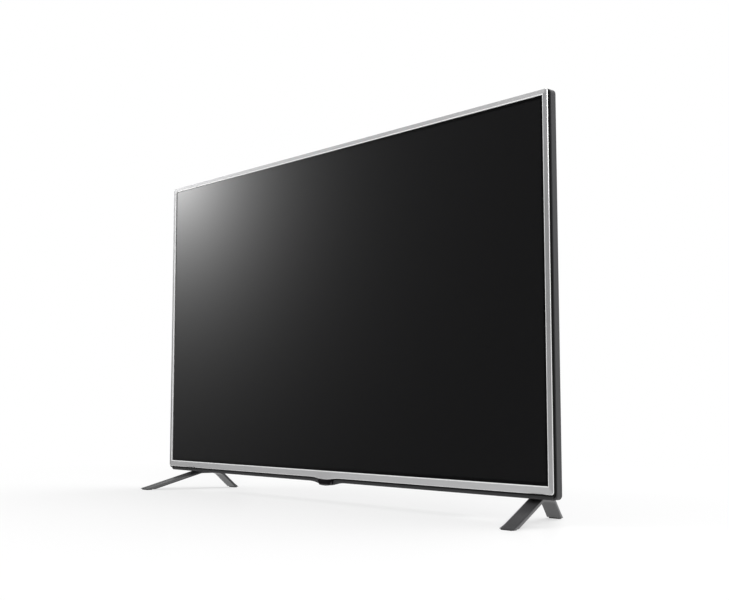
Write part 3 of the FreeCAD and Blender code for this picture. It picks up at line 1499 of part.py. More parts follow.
def chin_optics():
    window = [
        ("-window_half_bottom", "window_corner_level", "chin_radius", 1),
        ("window_half_bottom", "window_corner_level"),
        ("window_half_top", "frame_bottom"),
        ("-window_half_top", "frame_bottom"),
    ]
    keep(plate("sensor_window", "XZ", "bezel_back", "cover_front - bezel_back", window), "sensor_window")
    guide_end = "cover_front + cover_lip_depth + guide_proud"
    guide = block("sensor_light_guide", ("guide_place - guide_width / 2", "guide_place + guide_width / 2"),
                  ("cover_front", guide_end), ("guide_level", "guide_level + guide_height"))
    keep(guide, "sensor_light_guide")
    sensor = block("remote_sensor", ("guide_place - sensor_width / 2", "guide_place + sensor_width / 2"),
                   (guide_end, f"{guide_end} + sensor_depth"),
                   ("button_board_level - sensor_height", "button_board_level"))
    keep(sensor, "remote_sensor")


def four_way_button():
    middle = ("0", "cap_middle")
    outline = square("-button_board_half", "button_board_half", "cap_middle - button_board_depth / 2",
                     "cap_middle + button_board_depth / 2")
    keep(plate("joystick_board", "XY", "button_board_level", "button_board_thickness", outline),
         "joystick_board")
    cube = block("housing_cube", ("-housing_half", "housing_half"),
                 ("cap_middle - housing_half", "cap_middle + housing_half"),
                 ("housing_bottom", "button_board_level"))
    cavity = prism("housing_cavity", "Z", (*middle, "housing_bottom - overrun"), "housing_cavity",
                   "housing_roof - housing_bottom + overrun", twelve)
    ring_bore = prism("housing_bore", "Y", ("0", "cap_middle - housing_half - overrun", "button_pivot"),
                      "trunnion_radius + trunnion_clearance", "2 * (housing_half + overrun)", twelve)
    keep(cut("joystick_housing", cube, cavity, ring_bore), "joystick_housing")
    ring = prism("ring_body", "Z", (*middle, "button_pivot - ring_height / 2"), "ring_outer", "ring_height",
                 twelve)
    eye = prism("ring_eye", "Z", (*middle, "button_pivot - ring_height"), "ring_inner", "2 * ring_height",
                twelve)
    stub = "housing_half - fit_gap"
    axle = prism("ring_axle", "Y", ("0", f"cap_middle - ({stub})", "button_pivot"), "trunnion_radius",
                 f"2 * ({stub})")
    stem_bore = prism("ring_bore", "X", ("-ring_outer - overrun", "cap_middle", "button_pivot"),
                      "trunnion_radius + trunnion_clearance", "2 * (ring_outer + overrun)", twelve)
    keep(cut("joystick_tilt_ring", fuse("ring_solid", ring, axle), eye, stem_bore), "joystick_tilt_ring")
    stem = prism("stem_rod", "Z", (*middle, "stem_bottom"), "stem_radius", "stem_top - stem_bottom", twelve)
    cross = prism("stem_cross", "X", ("-ring_outer + fit_gap", "cap_middle", "button_pivot"),
                  "trunnion_radius", "2 * (ring_outer - fit_gap)")
    keep(fuse("joystick_stem", stem, cross), "joystick_stem")
    cap = make_body("cap_knob")
    around = many_sided(*middle, "cap_radius", finest)
    pad(cap, draw(cap, "cap_outline", "XY", "cap_bottom", around), "cap_top - cap_bottom")
    bottom = number("cap_bottom")
    dress(cap, "Chamfer", "cap_chamfer", "cap_edge", lambda edge: edge.BoundBox.ZMax < bottom + 0.01)
    well = prism("cap_well", "Z", (*middle, "cap_bore_floor"), "stem_radius + trunnion_clearance",
                 "cap_top - cap_bore_floor + overrun", twelve)
    keep(cut("joystick_cap", cap, well), "joystick_cap")


def check_and_write():
    doc.recompute()
    faults = [f"{item.Name}: {item.State}" for item in doc.Objects if {"Invalid", "Error"} & set(item.State)]
    for item in kept:
        shape = item.Shape
        if shape.isNull() or not shape.isValid() or shape.Volume <= 0 or not shape.Solids:
            faults.append(f"{item.Label}: bad shape")
    if faults:
        raise SystemExit("\n".join(faults))
    os.makedirs("parts", exist_ok=True)
    for item in kept:
        item.Shape.exportStep(f"parts/{item.Label}.step")
    print(len(kept), "parts written")


front_bezel()
screen_cell()
driver_boards()
mid_frame()
optical_sheets()
backlight_tray()
reflector_sheet()
led_backlight()
rear_cover()
cover_screws()
wall_mount()
foot("left_foot", -1)
foot("right_foot", 1)
foot_fittings()
circuit_boards()
main_board_parts()
power_board_parts()
wireless_module()
connector_bay()
mains_inlet()
speakers()
flat_cables()
chin_optics()
four_way_button()
check_and_write()
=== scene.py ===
import json
import random
from math import atan, cos, pi, radians, sin, sqrt, tan

import bmesh
import bpy
from mathutils import Euler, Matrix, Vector


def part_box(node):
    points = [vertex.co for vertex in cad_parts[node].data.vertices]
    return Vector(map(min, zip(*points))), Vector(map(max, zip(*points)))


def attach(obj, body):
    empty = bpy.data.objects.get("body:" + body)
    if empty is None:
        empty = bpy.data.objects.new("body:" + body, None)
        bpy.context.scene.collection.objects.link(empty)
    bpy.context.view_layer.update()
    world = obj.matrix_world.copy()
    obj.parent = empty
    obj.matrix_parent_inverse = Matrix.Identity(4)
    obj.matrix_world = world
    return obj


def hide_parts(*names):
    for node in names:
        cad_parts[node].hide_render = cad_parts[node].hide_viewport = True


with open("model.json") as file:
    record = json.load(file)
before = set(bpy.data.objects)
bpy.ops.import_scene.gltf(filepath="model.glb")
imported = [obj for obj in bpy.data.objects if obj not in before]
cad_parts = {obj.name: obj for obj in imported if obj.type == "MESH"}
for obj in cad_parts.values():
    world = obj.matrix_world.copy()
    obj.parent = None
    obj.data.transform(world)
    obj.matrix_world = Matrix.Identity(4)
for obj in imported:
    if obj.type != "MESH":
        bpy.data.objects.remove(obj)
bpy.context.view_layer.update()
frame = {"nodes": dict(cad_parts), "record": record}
nodes = frame["nodes"]
scene = bpy.context.scene
print("frame loaded with", len(nodes), "nodes")


# Camera, at the place and angle of the photograph

camera = {"place": (1.4161, -1.1804, 0.162), "turn": (95.43, 0.0, 48.48), "lens": 54.35, "sensor": 36.0,
          "nearest": 0.01}


def placeCamera():
    data = bpy.data.cameras.new("camera")
    data.lens = camera["lens"]
    data.sensor_width = camera["sensor"]
    data.clip_start = camera["nearest"]
    eye = bpy.data.objects.new("camera", data)
    eye.location = camera["place"]
    eye.rotation_euler = Euler([radians(angle) for angle in camera["turn"]])
    scene.collection.objects.link(eye)
    scene.camera = eye


placeCamera()
scene.view_settings.view_transform = "Standard"
print("camera placed")


# Node graphs: one wrapper for a socket, and one method that adds any node


def mathNode(operation, reflected=False):
    # A method of a wire that adds one Math node
    def method(wire, *others):
        values = [wire, *others]
        sockets = dict(enumerate(values[::-1] if reflected else values))
        return wire.graph.node("ShaderNodeMath", {"operation": operation}, sockets)

    return method


class Wire:
    # An output socket, so that maths on it is written as Python
    def __init__(self, graph, socket):
        self.graph = graph
        self.socket = socket

    __add__, __radd__ = mathNode("ADD"), mathNode("ADD", reflected=True)
    __sub__, __rsub__ = mathNode("SUBTRACT"), mathNode("SUBTRACT", reflected=True)
    __mul__, __rmul__ = mathNode("MULTIPLY"), mathNode("MULTIPLY", reflected=True)
    __truediv__, __rtruediv__ = mathNode("DIVIDE"), mathNode("DIVIDE", reflected=True)
    __gt__ = mathNode("GREATER_THAN")
    __lt__ = mathNode("LESS_THAN")
    __abs__ = mathNode("ABSOLUTE")
    power = mathNode("POWER")
    larger = mathNode("MAXIMUM")
    smaller = mathNode("MINIMUM")
    wrapped = mathNode("PINGPONG")
    exponent = mathNode("EXPONENT")

    def decay(self, length):
        return (self / -length).exponent()


class Graph:
    def __init__(self, tree):
        self.tree = tree
        self.tree.nodes.clear()

    def node(self, kind, settings=None, sockets=None, out=0):
        made = self.tree.nodes.new(kind)
        for name, value in (settings or {}).items():
            setattr(made, name, value)
        for name, value in (sockets or {}).items():
            if isinstance(value, Wire):
                self.tree.links.new(value.socket, made.inputs[name])
            else:
                made.inputs[name].default_value = value
        return Wire(self, made.outputs[out]) if len(made.outputs) else made

    def vector(self, operation, sockets, out=0):
        return self.node("ShaderNodeVectorMath", {"operation": operation}, sockets, out)


class Finish(Graph):
    # The shader of one surface
    def __init__(self, name):
        self.material = bpy.data.materials.new(name)
        self.material.use_nodes = True
        super().__init__(self.material.node_tree)

    def place(self, stretch=(1, 1, 1)):
        where = self.node("ShaderNodeTexCoord", out="Object")
        if stretch == (1, 1, 1):
            return where
        return self.node("ShaderNodeMapping", {}, {"Vector": where, "Scale": stretch})

    def axes(self, where):
        split = self.node("ShaderNodeSeparateXYZ", {}, {0: where})
        return [Wire(self, socket) for socket in split.socket.node.outputs]

    def noise(self, where, size, detail):
        return self.node("ShaderNodeTexNoise", {}, {"Vector": where, "Scale": 1 / size, "Detail": detail})

    def blend(self, mask, first, second):
        # Sockets 6 and 7 are the two colours of a Mix node, and output 2 is its colour
        colours = [shade if isinstance(shade, Wire) else (*shade, 1) for shade in (first, second)]
        sockets = {"Factor": mask, 6: colours[0], 7: colours[1]}
        return self.node("ShaderNodeMix", {"data_type": "RGBA"}, sockets, 2)

    def bump(self, height, depth):
        return self.node("ShaderNodeBump", {}, {"Height": height, "Distance": depth})

    def ended(self, shader):
        self.node("ShaderNodeOutputMaterial", {}, {"Surface": shader})
        return self.material

    def surface(self, **sockets):
        named = {name.replace("_", " "): value for name, value in sockets.items()}
        return self.ended(self.node("ShaderNodeBsdfPrincipled", {}, named))


# Finishes

toneMix = {"grain": 0.6, "cloud": 0.4}
plainSpecular = 0.5


def unevenTone(finish, look):
    # A fine grain and broad clouds, with the tone and the gloss that they give together
    where = finish.place()
    grain = finish.noise(where, look["grain"], detail=3)
    cloud = finish.noise(where, look["cloud"], detail=2)
    mix = grain * toneMix["grain"] + cloud * toneMix["cloud"]
    gloss = look["roughness"] + (grain + cloud - 1) * look["unevenGloss"]
    return grain, finish.blend(mix, look["dark"], look["light"]), gloss


def mouldedFinish(name, look):
    # Moulded: two close tones, a fine grain and slightly uneven gloss
    finish = Finish(name)
    grain, tone, gloss = unevenTone(finish, look)
    return finish.surface(
        Base_Color=tone,
        Roughness=gloss,
        Normal=finish.bump(grain, look["relief"]),
        Specular_IOR_Level=look.get("specular", plainSpecular),
    )


def brushedFinish(name, look):
    # Bare metal, with a grain that the stretch can draw out along one axis
    finish = Finish(name)
    strokes = finish.noise(finish.place(look["stretch"]), look["grain"], detail=4)
    cloud = finish.noise(finish.place(), look["cloud"], detail=3)
    return finish.surface(
        Base_Color=finish.blend((strokes + cloud) / 2, look["dark"], look["light"]),
        Metallic=1.0,
        Roughness=look["roughness"] + (strokes + cloud - 1) * look["unevenGloss"],
        Normal=finish.bump(strokes, look["relief"]),
    )


coverPlastic = {"dark": (0.032, 0.032, 0.034), "light": (0.046, 0.046, 0.048), "roughness": 0.58,
                "unevenGloss": 0.1, "grain": 0.0007, "cloud": 0.05, "relief": 0.00006}
footPlastic = {"dark": (0.050, 0.050, 0.052), "light": (0.062, 0.062, 0.064), "roughness": 0.3,
               "unevenGloss": 0.06, "grain": 0.0006, "cloud": 0.03, "relief": 0.00001}
blackPlastic = {"dark": (0.004, 0.004, 0.004), "light": (0.008, 0.008, 0.008), "roughness": 0.6,
                "unevenGloss": 0.12, "grain": 0.0006, "cloud": 0.02, "relief": 0.00003, "specular": 0.12}
chipResin = {"dark": (0.014, 0.014, 0.014), "light": (0.026, 0.026, 0.027), "roughness": 0.55,
             "unevenGloss": 0.2, "grain": 0.0003, "cloud": 0.004, "relief": 0.00002}
padRubber = {"dark": (0.012, 0.012, 0.012), "light": (0.022, 0.022, 0.022), "roughness": 0.85,
             "unevenGloss": 0.1, "grain": 0.0004, "cloud": 0.008, "relief": 0.00005}
whiteSheet = {"dark": (0.78, 0.78, 0.77), "light": (0.84, 0.84, 0.84), "roughness": 0.6,
              "unevenGloss": 0.1, "grain": 0.0004, "cloud": 0.08, "relief": 0.00001}
clearResin = {"dark": (0.70, 0.72, 0.73), "light": (0.80, 0.82, 0.83), "roughness": 0.08,
              "unevenGloss": 0.05, "grain": 0.001, "cloud": 0.01, "relief": 0.000005}
smokedResin = {"dark": (0.004, 0.004, 0.005), "light": (0.008, 0.006, 0.007), "roughness": 0.08,
               "unevenGloss": 0.04, "grain": 0.001, "cloud": 0.01, "relief": 0.000002}
pressedSteel = {"dark": (0.48, 0.49, 0.50), "light": (0.60, 0.61, 0.62), "roughness": 0.36,
                "unevenGloss": 0.2, "grain": 0.004, "cloud": 0.03, "relief": 0.00001,
                "stretch": (1, 1, 0.15)}
screwSteel = {"dark": (0.05, 0.05, 0.05), "light": (0.10, 0.10, 0.10), "roughness": 0.34,
              "unevenGloss": 0.16, "grain": 0.0008, "cloud": 0.004, "relief": 0.00001,
              "stretch": (1, 1, 1)}
bareAluminium = {"dark": (0.56, 0.56, 0.57), "light": (0.70, 0.70, 0.71), "roughness": 0.34,
                 "unevenGloss": 0.16, "grain": 0.002, "cloud": 0.02, "relief": 0.00002,
                 "stretch": (1, 1, 0.05)}
platedContact = {"dark": (0.62, 0.52, 0.30), "light": (0.76, 0.66, 0.40), "roughness": 0.24,
                 "unevenGloss": 0.12, "grain": 0.0006, "cloud": 0.003, "relief": 0.000005,
                 "stretch": (1, 0.1, 1)}

boardLook = {"mask": (0.012, 0.075, 0.032), "trace": (0.03, 0.14, 0.06), "pad": (0.62, 0.60, 0.52),
             "pitch": 0.0032, "track": 0.18, "padSize": 0.00055, "padScatter": 0.35, "padMetal": 0.8,
             "warp": 0.02, "warpAcross": 4, "warpUp": 2, "region": 0.015, "laneShare": 0.5,
             "roughness": 0.42, "padGloss": 0.12, "relief": 0.00003}


def circuitFinish(name, look):
    # Solder mask over copper tracks, with rows of tinned pads
    finish = Finish(name)
    across, _, up = finish.axes(finish.place())
    warp = finish.noise(finish.place(), look["warp"], detail=2) * look["pitch"]
    lanes = (across + warp * look["warpAcross"]).wrapped(look["pitch"] / 2) / look["pitch"]
    rows = (up + warp * look["warpUp"]).wrapped(look["pitch"] / 2) / look["pitch"]
    region = finish.noise(finish.place(), look["region"], detail=0) > look["laneShare"]
    tracks = (lanes * region + rows * (1 - region)) < look["track"]
    cells = {"Vector": finish.place(), "Scale": 1 / look["pitch"], "Randomness": look["padScatter"]}
    spots = finish.node("ShaderNodeTexVoronoi", {}, cells) < look["padSize"] / look["pitch"]
    colour = finish.blend(spots, finish.blend(tracks, look["mask"], look["trace"]), look["pad"])
    return finish.surface(
        Base_Color=colour,
        Metallic=spots * look["padMetal"],
        Roughness=look["roughness"] - spots * look["padGloss"],
        Normal=finish.bump(tracks + spots, look["relief"]),
    )


# dark is painted shade in the grooves between turns, light is the colour on each crest
windingLook = {"dark": (0.20, 0.06, 0.02), "light": (0.52, 0.24, 0.10), "wire": 0.0009, "metal": 0.6,
               "roughness": 0.42, "crestGloss": 0.12}


def windingFinish(name, look):
    # Enamelled wire, turn beside turn, with painted shade that is darkest in the grooves between turns and
    # lightest on each crest
    finish = Finish(name)
    _, depth, _ = finish.axes(finish.place())
    turn = depth.wrapped(look["wire"] / 2) / (look["wire"] / 2)
    return finish.surface(
        # Painted shade: the colour follows each turn's bump, dark in the grooves and light on the crests
        Base_Color=finish.blend(turn, look["dark"], look["light"]),
        Metallic=look["metal"],
        Roughness=look["roughness"] - turn * look["crestGloss"],
        Normal=finish.bump(turn, look["wire"] / 2),
    )


conePulp = {"dark": (0.02, 0.02, 0.02), "light": (0.06, 0.058, 0.055), "fibre": 0.0012, "stretch": (1, 1, 3),
            "roughness": 0.8, "unevenGloss": 0.2, "relief": 0.0001}


def coneFinish(name, look):
    # Pressed paper pulp
    finish = Finish(name)
    fibre = finish.noise(finish.place(look["stretch"]), look["fibre"], detail=6)
    return finish.surface(
        Base_Color=finish.blend(fibre, look["dark"], look["light"]),
        Roughness=look["roughness"] + (fibre - 0.5) * look["unevenGloss"],
        Normal=finish.bump(fibre, look["relief"]),
    )


openingRim = {"across": 0.0085, "up": 0.0035}


def screenOpening():
    # Half width, half height and middle level of the bezel's opening
    bezel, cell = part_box("front_bezel"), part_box("lcd_cell")
    half = (bezel[1].x - bezel[0].x) / 2 - openingRim["across"]
    rise = (cell[1].z - cell[0].z) / 2 - openingRim["up"]
    return half, rise, (cell[0].z + cell[1].z) / 2


# edge is the colour of a painted highlight round the opening and on the cut edges; return is painted shade on
# the side walls
silverPaint = {"dark": (0.51, 0.51, 0.515), "light": (0.57, 0.57, 0.575), "metal": 0.8, "roughness": 0.36,
               "unevenGloss": 0.06, "grain": 0.0005, "cloud": 0.06, "relief": 0.000004,
               "edge": (0.88, 0.88, 0.88), "highlightTurn": 0.97, "edgeGloss": 0.1, "highlightBand": 0.0012,
               "return": (0.012, 0.012, 0.012), "shadeTurn": 0.3, "shadeRoughness": 0.55}


def bezelFinish(name, look):
    # Satin paint on the face, a painted highlight in a bright band round the opening and on the cut edges,
    # and painted shade, near black, on the side walls
    finish = Finish(name)
    grain, paint, gloss = unevenTone(finish, look)
    half, rise, middle = screenOpening()
    across, _, up = finish.axes(finish.place())
    outward = (abs(across) - half).larger(abs(up - middle) - rise)
    _, facing, _ = finish.axes(finish.node("ShaderNodeTexCoord", out="Normal"))
    # Painted highlight: the band round the opening and the cut edges take the bright edge colour
    highlightBand = outward < look["highlightBand"]
    paintedHighlight = highlightBand.larger(abs(facing) < look["highlightTurn"])
    # Painted shade: walls that face sideways, outside the bright band, take the near-black return colour
    paintedShade = (abs(facing) < look["shadeTurn"]) * (outward > look["highlightBand"])
    painted = finish.blend(paintedHighlight, paint, look["edge"])
    metal = (1 - highlightBand) * look["metal"]
    sheen = gloss - paintedHighlight * look["edgeGloss"]
    return finish.surface(
        Base_Color=finish.blend(paintedShade, painted, look["return"]),
        Metallic=metal * (1 - paintedShade),
        Roughness=sheen * (1 - paintedShade) + paintedShade * look["shadeRoughness"],
        Normal=finish.bump(grain, look["relief"]),
    )


screenLook = {"border": 0.005, "picture": (0.0072, 0.0072, 0.0075), "margin": (0.0022, 0.0022, 0.0024),
              "roughness": 0.12, "unevenGloss": 0.04, "haze": 0.00000025, "sparkle": 0.0004}


def screenFinish(name, look):
    # Hazy dark polariser, a little blacker in the masked border round the picture
    finish = Finish(name)
    across, _, up = finish.axes(finish.place())
    half, rise, middle = screenOpening()
    inSide = abs(across) < half - look["border"]
    inRise = abs(up - middle) < rise - look["border"]
    sparkle = finish.noise(finish.place(), look["sparkle"], detail=2)
    return finish.surface(
        Base_Color=finish.blend(inSide * inRise, look["margin"], look["picture"]),
        Roughness=look["roughness"] + (sparkle - 0.5) * look["unevenGloss"],
        Normal=finish.bump(sparkle, look["haze"]),
    )


finishes = {
    "satin_silver": bezelFinish("satinSilver", silverPaint),
    "screen_glass": screenFinish("screenPolariser", screenLook),
    "smoked_window": mouldedFinish("smokedWindow", smokedResin),
    "black_plastic": mouldedFinish("blackPlastic", blackPlastic),
    "dark_grey_plastic": mouldedFinish("coverPlastic", coverPlastic),
    "foot_plastic": mouldedFinish("footPlastic", footPlastic),
    "rubber": mouldedFinish("padRubber", padRubber),
    "pressed_steel": brushedFinish("pressedSteel", pressedSteel),
    "screw_steel": brushedFinish("blackScrew", screwSteel),
    "white_sheet": mouldedFinish("whiteSheet", whiteSheet),
    "clear_lens": mouldedFinish("clearResin", clearResin),
    "circuit_green": circuitFinish("circuitBoard", boardLook),
    "aluminium": brushedFinish("bareAluminium", bareAluminium),
    "chip_black": mouldedFinish("chipResin", chipResin),
    "contact_metal": brushedFinish("platedContact", platedContact),
    "copper_winding": windingFinish("copperWinding", windingLook),
    "paper_cone": coneFinish("paperCone", conePulp),
}


def dressNodes():
    for part in frame["record"]["subparts"]:
        for slot in nodes[part["node"]].material_slots:
            slot.material = finishes[part["material_slot"]]


dressNodes()
print("finishes given to", len(nodes), "nodes")


# Pieces: shared helpers

digits = {"corner": 6, "middle": 4}


def nodeIslands(name):
    # Lowest and highest corner of each separate lump of a CAD node
    mesh = nodes[name].data
    spots = {}
    owner = []

    def leader(index):
        while owner[index] != index:
            owner[index] = owner[owner[index]]
            index = owner[index]
        return index

    def spotOf(vertex):
        key = tuple(round(value, digits["corner"]) for value in mesh.vertices[vertex].co)
        if key not in spots:
            spots[key] = len(owner)
            owner.append(len(owner))
        return spots[key]

    for face in mesh.polygons:
        first, *others = [spotOf(vertex) for vertex in face.vertices]
        for other in others:
            owner[leader(other)] = leader(first)
    lumps = {}
    for key, index in spots.items():
        lumps.setdefault(leader(index), []).append(key)
    boxes = [(Vector(map(min, zip(*keys))), Vector(map(max, zip(*keys)))) for keys in lumps.values()]
    return sorted(boxes, key=lambda pair: [round(value, digits["middle"])
                                           for value in (pair[0] + pair[1]) / 2])


def frontMiddle(low, high, depth=0):
    # The middle of a box as seen from the front, at a chosen depth
    return (low.x + high.x) / 2, depth, (low.z + high.z) / 2


def planePoint(axis, spot, across, up, along):
    offset = {"X": (along, across, up), "Y": (across, along, up), "Z": (across, up, along)}[axis]
    return Vector(spot) + Vector(offset)


def turned(work, profile, axis="Y", spot=(0, 0, 0), segments=32, loop=False, paint=0):
    # Turns a profile of (radius, level) pairs round an axis, and adds it to the work
    turns = [2 * pi * step / segments for step in range(segments)]
    rings = []
    for radius, along in profile:
        angles = turns if radius > 0 else [0]
        places = [(radius * cos(turn), radius * sin(turn)) for turn in angles]
        rings.append([work.verts.new(planePoint(axis, spot, across, up, along)) for across, up in places])
    for near, far in list(zip(rings, rings[1:])) + ([(rings[-1], rings[0])] if loop else []):
        for step in range(segments):
            after = step + 1
            corners = [near[step % len(near)], near[after % len(near)],
                       far[after % len(far)], far[step % len(far)]]
            corners = list(dict.fromkeys(corners))
            if len(corners) > 2:
                work.faces.new(corners).material_index = paint
    return rings


def boxed(work, low, high):
    corners = [work.verts.new((x, y, z))
               for x in (low[0], high[0]) for y in (low[1], high[1]) for z in (low[2], high[2])]
    for loop in ((0, 1, 3, 2), (4, 6, 7, 5), (0, 4, 5, 1), (2, 3, 7, 6), (0, 2, 6, 4), (1, 5, 7, 3)):
        work.faces.new([corners[index] for index in loop])


def bridged(work, near, far):
    # Faces between two closed rings of points
    for step in range(len(near)):
        work.faces.new([near[step - 1], near[step], far[step], far[step - 1]])


def meshFrom(name, work, sharp=35, surfaces=()):
    bmesh.ops.recalc_face_normals(work, faces=work.faces)
    mesh = bpy.data.meshes.new(name)
    work.to_mesh(mesh)
    work.free()
    for surface in surfaces:
        mesh.materials.append(surface)
    mesh.shade_smooth()
    mesh.set_sharp_from_angle(angle=radians(sharp))
    return mesh


def addPiece(name, mesh, replaced=(), body="root"):
    piece = bpy.data.objects.new(name, mesh)
    scene.collection.objects.link(piece)
    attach(piece, body)
    if replaced:
        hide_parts(*replaced)


def pieceFrom(name, work, slot, replaced, sharp=35, body="root", others=()):
    # Ends the work as a mesh in the finish of its slot, and adds it as a piece
    addPiece(name, meshFrom(name, work, sharp, [finishes[slot], *others]), replaced, body)


def scatterTree():
    # Sets a template on every point, turns each one a little about its axis, and gives it a finish
    tree = bpy.data.node_groups.new("scatterPieces", "GeometryNodeTree")
    kinds = {"points": "Geometry", "template": "Object", "finish": "Material", "spin": "Vector",
             "seed": "Int"}
    sockets = {name: tree.interface.new_socket(name, in_out="INPUT", socket_type="NodeSocket" + kind)
               for name, kind in kinds.items()}
    tree.interface.new_socket("pieces", in_out="OUTPUT", socket_type="NodeSocketGeometry")
    graph = Graph(tree)
    given = graph.node("NodeGroupInput")
    inputs = {name: Wire(graph, given.socket.node.outputs[index]) for index, name in enumerate(kinds)}
    template = graph.node("GeometryNodeObjectInfo", {}, {"Object": inputs["template"]}, "Geometry")
    back = graph.vector("SCALE", {0: inputs["spin"], "Scale": -1.0})
    spins = graph.node("FunctionNodeRandomValue", {"data_type": "FLOAT_VECTOR"},
                       {0: back, 1: inputs["spin"], "Seed": inputs["seed"]})
    spread = graph.node("GeometryNodeInstanceOnPoints", {},
                        {"Points": inputs["points"], "Instance": template})
    spun = graph.node("GeometryNodeRotateInstances", {}, {"Instances": spread, "Rotation": spins})
    real = graph.node("GeometryNodeRealizeInstances", {}, {0: spun})
    painted = graph.node("GeometryNodeSetMaterial", {},
                         {"Geometry": real, "Material": inputs["finish"]})
    graph.node("NodeGroupOutput", {}, {0: painted})
    return tree, {name: socket.identifier for name, socket in sockets.items()}


pieceTree, pieceInputs = scatterTree()


def scattered(name, template, points, finish, spin=(0, 0, 0), seed=1):
    # A plain mesh of one template on many points
    sample = bpy.data.objects.new(name + "Template", template)
    cloud = bpy.data.meshes.new(name + "Points")
    cloud.from_pydata([tuple(point) for point in points], [], [])
    carrier = bpy.data.objects.new(name + "Carrier", cloud)
    for item in (sample, carrier):
        scene.collection.objects.link(item)
    modifier = carrier.modifiers.new("pieces", "NODES")
    modifier.node_group = pieceTree
    turn = [radians(angle) for angle in spin]
    values = {"template": sample, "finish": finish, "spin": turn, "seed": seed}
    for label, value in values.items():
        modifier[pieceInputs[label]] = value
    bpy.context.view_layer.update()
    depsgraph = bpy.context.evaluated_depsgraph_get()
    mesh = bpy.data.meshes.new_from_object(carrier.evaluated_get(depsgraph), depsgraph=depsgraph)
    mesh.name = name
    carrier.modifiers.remove(modifier)
    for item in (carrier, sample):
        bpy.data.objects.remove(item)
    return mesh


# Bezel: a lip round the opening, a face that falls away from it, and cut edges

bezelShape = {"dipHalf": 0.038, "dipDepth": 0.0027, "dipSteps": 32, "corner": 0.004, "cornerSteps": 26,
              "innerCut": 0.0005, "lip": 0.0013, "fall": 0.0009, "outerCut": 0.0006,
              "weld": 1e-7, "sharp": 4}


def bezelOutline(look):
    # The outer edge, once round, with the dip at the middle of its lower side
    low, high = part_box("front_bezel")
    half, rise, middle = screenOpening()
    level = low.z + look["dipDepth"]
    radius = (look["dipHalf"] ** 2 + look["dipDepth"] ** 2) / (4 * look["dipDepth"])
    points = []
    for step in range(look["dipSteps"] + 1):
        across = look["dipHalf"] * (2 * step / look["dipSteps"] - 1)
        if abs(across) < look["dipHalf"] / 2:
            sink = look["dipDepth"] - radius + sqrt(radius ** 2 - across ** 2)
        else:
            sink = radius - sqrt(radius ** 2 - (look["dipHalf"] - abs(across)) ** 2)
        points.append((across, level - sink))
    for count, (side, up) in enumerate(((1, -1), (1, 1), (-1, 1), (-1, -1))):
        edge = high.z if up > 0 else level
        ends = [(side * half, edge), (side * high.x, middle + up * rise)]
        before, after = ends if count % 2 == 0 else ends[::-1]
        hub = (side * (high.x - look["corner"]), edge - up * look["corner"])
        points.append(before)
        for step in range(look["cornerSteps"] + 1):
            turn = pi / 2 * (count - 1 + step / look["cornerSteps"])
            points.append((hub[0] + look["corner"] * cos(turn),
                           hub[1] + look["corner"] * sin(turn)))
        points.append(after)
    return points


def fallingBezel(look):
    low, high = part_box("front_bezel")
    half, rise, middle = screenOpening()
    outerFront = low.y + look["fall"]
    work = bmesh.new()
    rows = []
    for across, up in bezelOutline(look):
        near = Vector((min(max(across, -half), half), min(max(up, middle - rise), middle + rise)))
        width = (Vector((across, up)) - near).length
        away = (Vector((across, up)) - near) / width
        stations = [(0, high.y), (0, low.y + look["innerCut"]), (look["innerCut"], low.y),
                    (look["lip"], low.y), (width - look["outerCut"], outerFront),
                    (width, outerFront + look["outerCut"]), (width, high.y)]
        rows.append([work.verts.new((near.x + away.x * out, depth, near.y + away.y * out))
                     for out, depth in stations])
    for row, last in zip(rows, rows[-1:] + rows[:-1]):
        bridged(work, last, row)
    bmesh.ops.remove_doubles(work, verts=work.verts, dist=look["weld"])
    pieceFrom("falling_bezel", work, "satin_silver", ["front_bezel"], look["sharp"])


fallingBezel(bezelShape)
print("bezel made")


# Feet: bent bars with a crowned top, rounder on the inner side

footLook = {"centre": 0.4285, "lean": 0.33, "half": 0.085, "width": 0.026, "thick": 0.0055, "crest": 0.035,
            "bendFront": 0.014, "bendRear": 0.054, "bendRadius": 0.026, "tip": 0.0026, "pad": 0.0015,
            "bendSteps": 16, "innerWide": 0.006, "innerDeep": 0.0032, "outerWide": 0.004,
            "outerDeep": 0.0018, "crownSteps": 7, "mostDeep": 0.62, "sharp": 30}


def footStations(look):
    # Pairs of points, over and under the bar, from its front tip to its rear tip
    drop = look["crest"] - look["tip"]
    hub = look["crest"] - look["bendRadius"]
    stations = []
    for way, corner in ((-1, look["bendFront"]), (1, look["bendRear"])):
        reach = look["half"] - way * corner
        angle = atan(drop / reach)
        middle = corner - way * look["bendRadius"] * tan(angle / 2)
        turns = [angle * step / look["bendSteps"] for step in range(look["bendSteps"] + 1)]
        over, under = [[(middle + way * radius * sin(turn), hub + radius * cos(turn))
                        for turn in turns]
                       for radius in (look["bendRadius"], look["bendRadius"] - look["thick"])]
        lift = (look["tip"] - look["pad"]) / tan(angle)
        heel = look["half"] + lift - look["thick"] / sin(angle)
        over.append((way * heel, look["tip"] + (look["half"] - heel) * tan(angle)))
        over.append((way * look["half"], look["tip"]))
        under += [(way * heel, look["pad"]), (way * look["half"], look["pad"])]
        leg = list(zip(over, under))
        stations += leg[::-1] if way < 0 else leg
    return stations


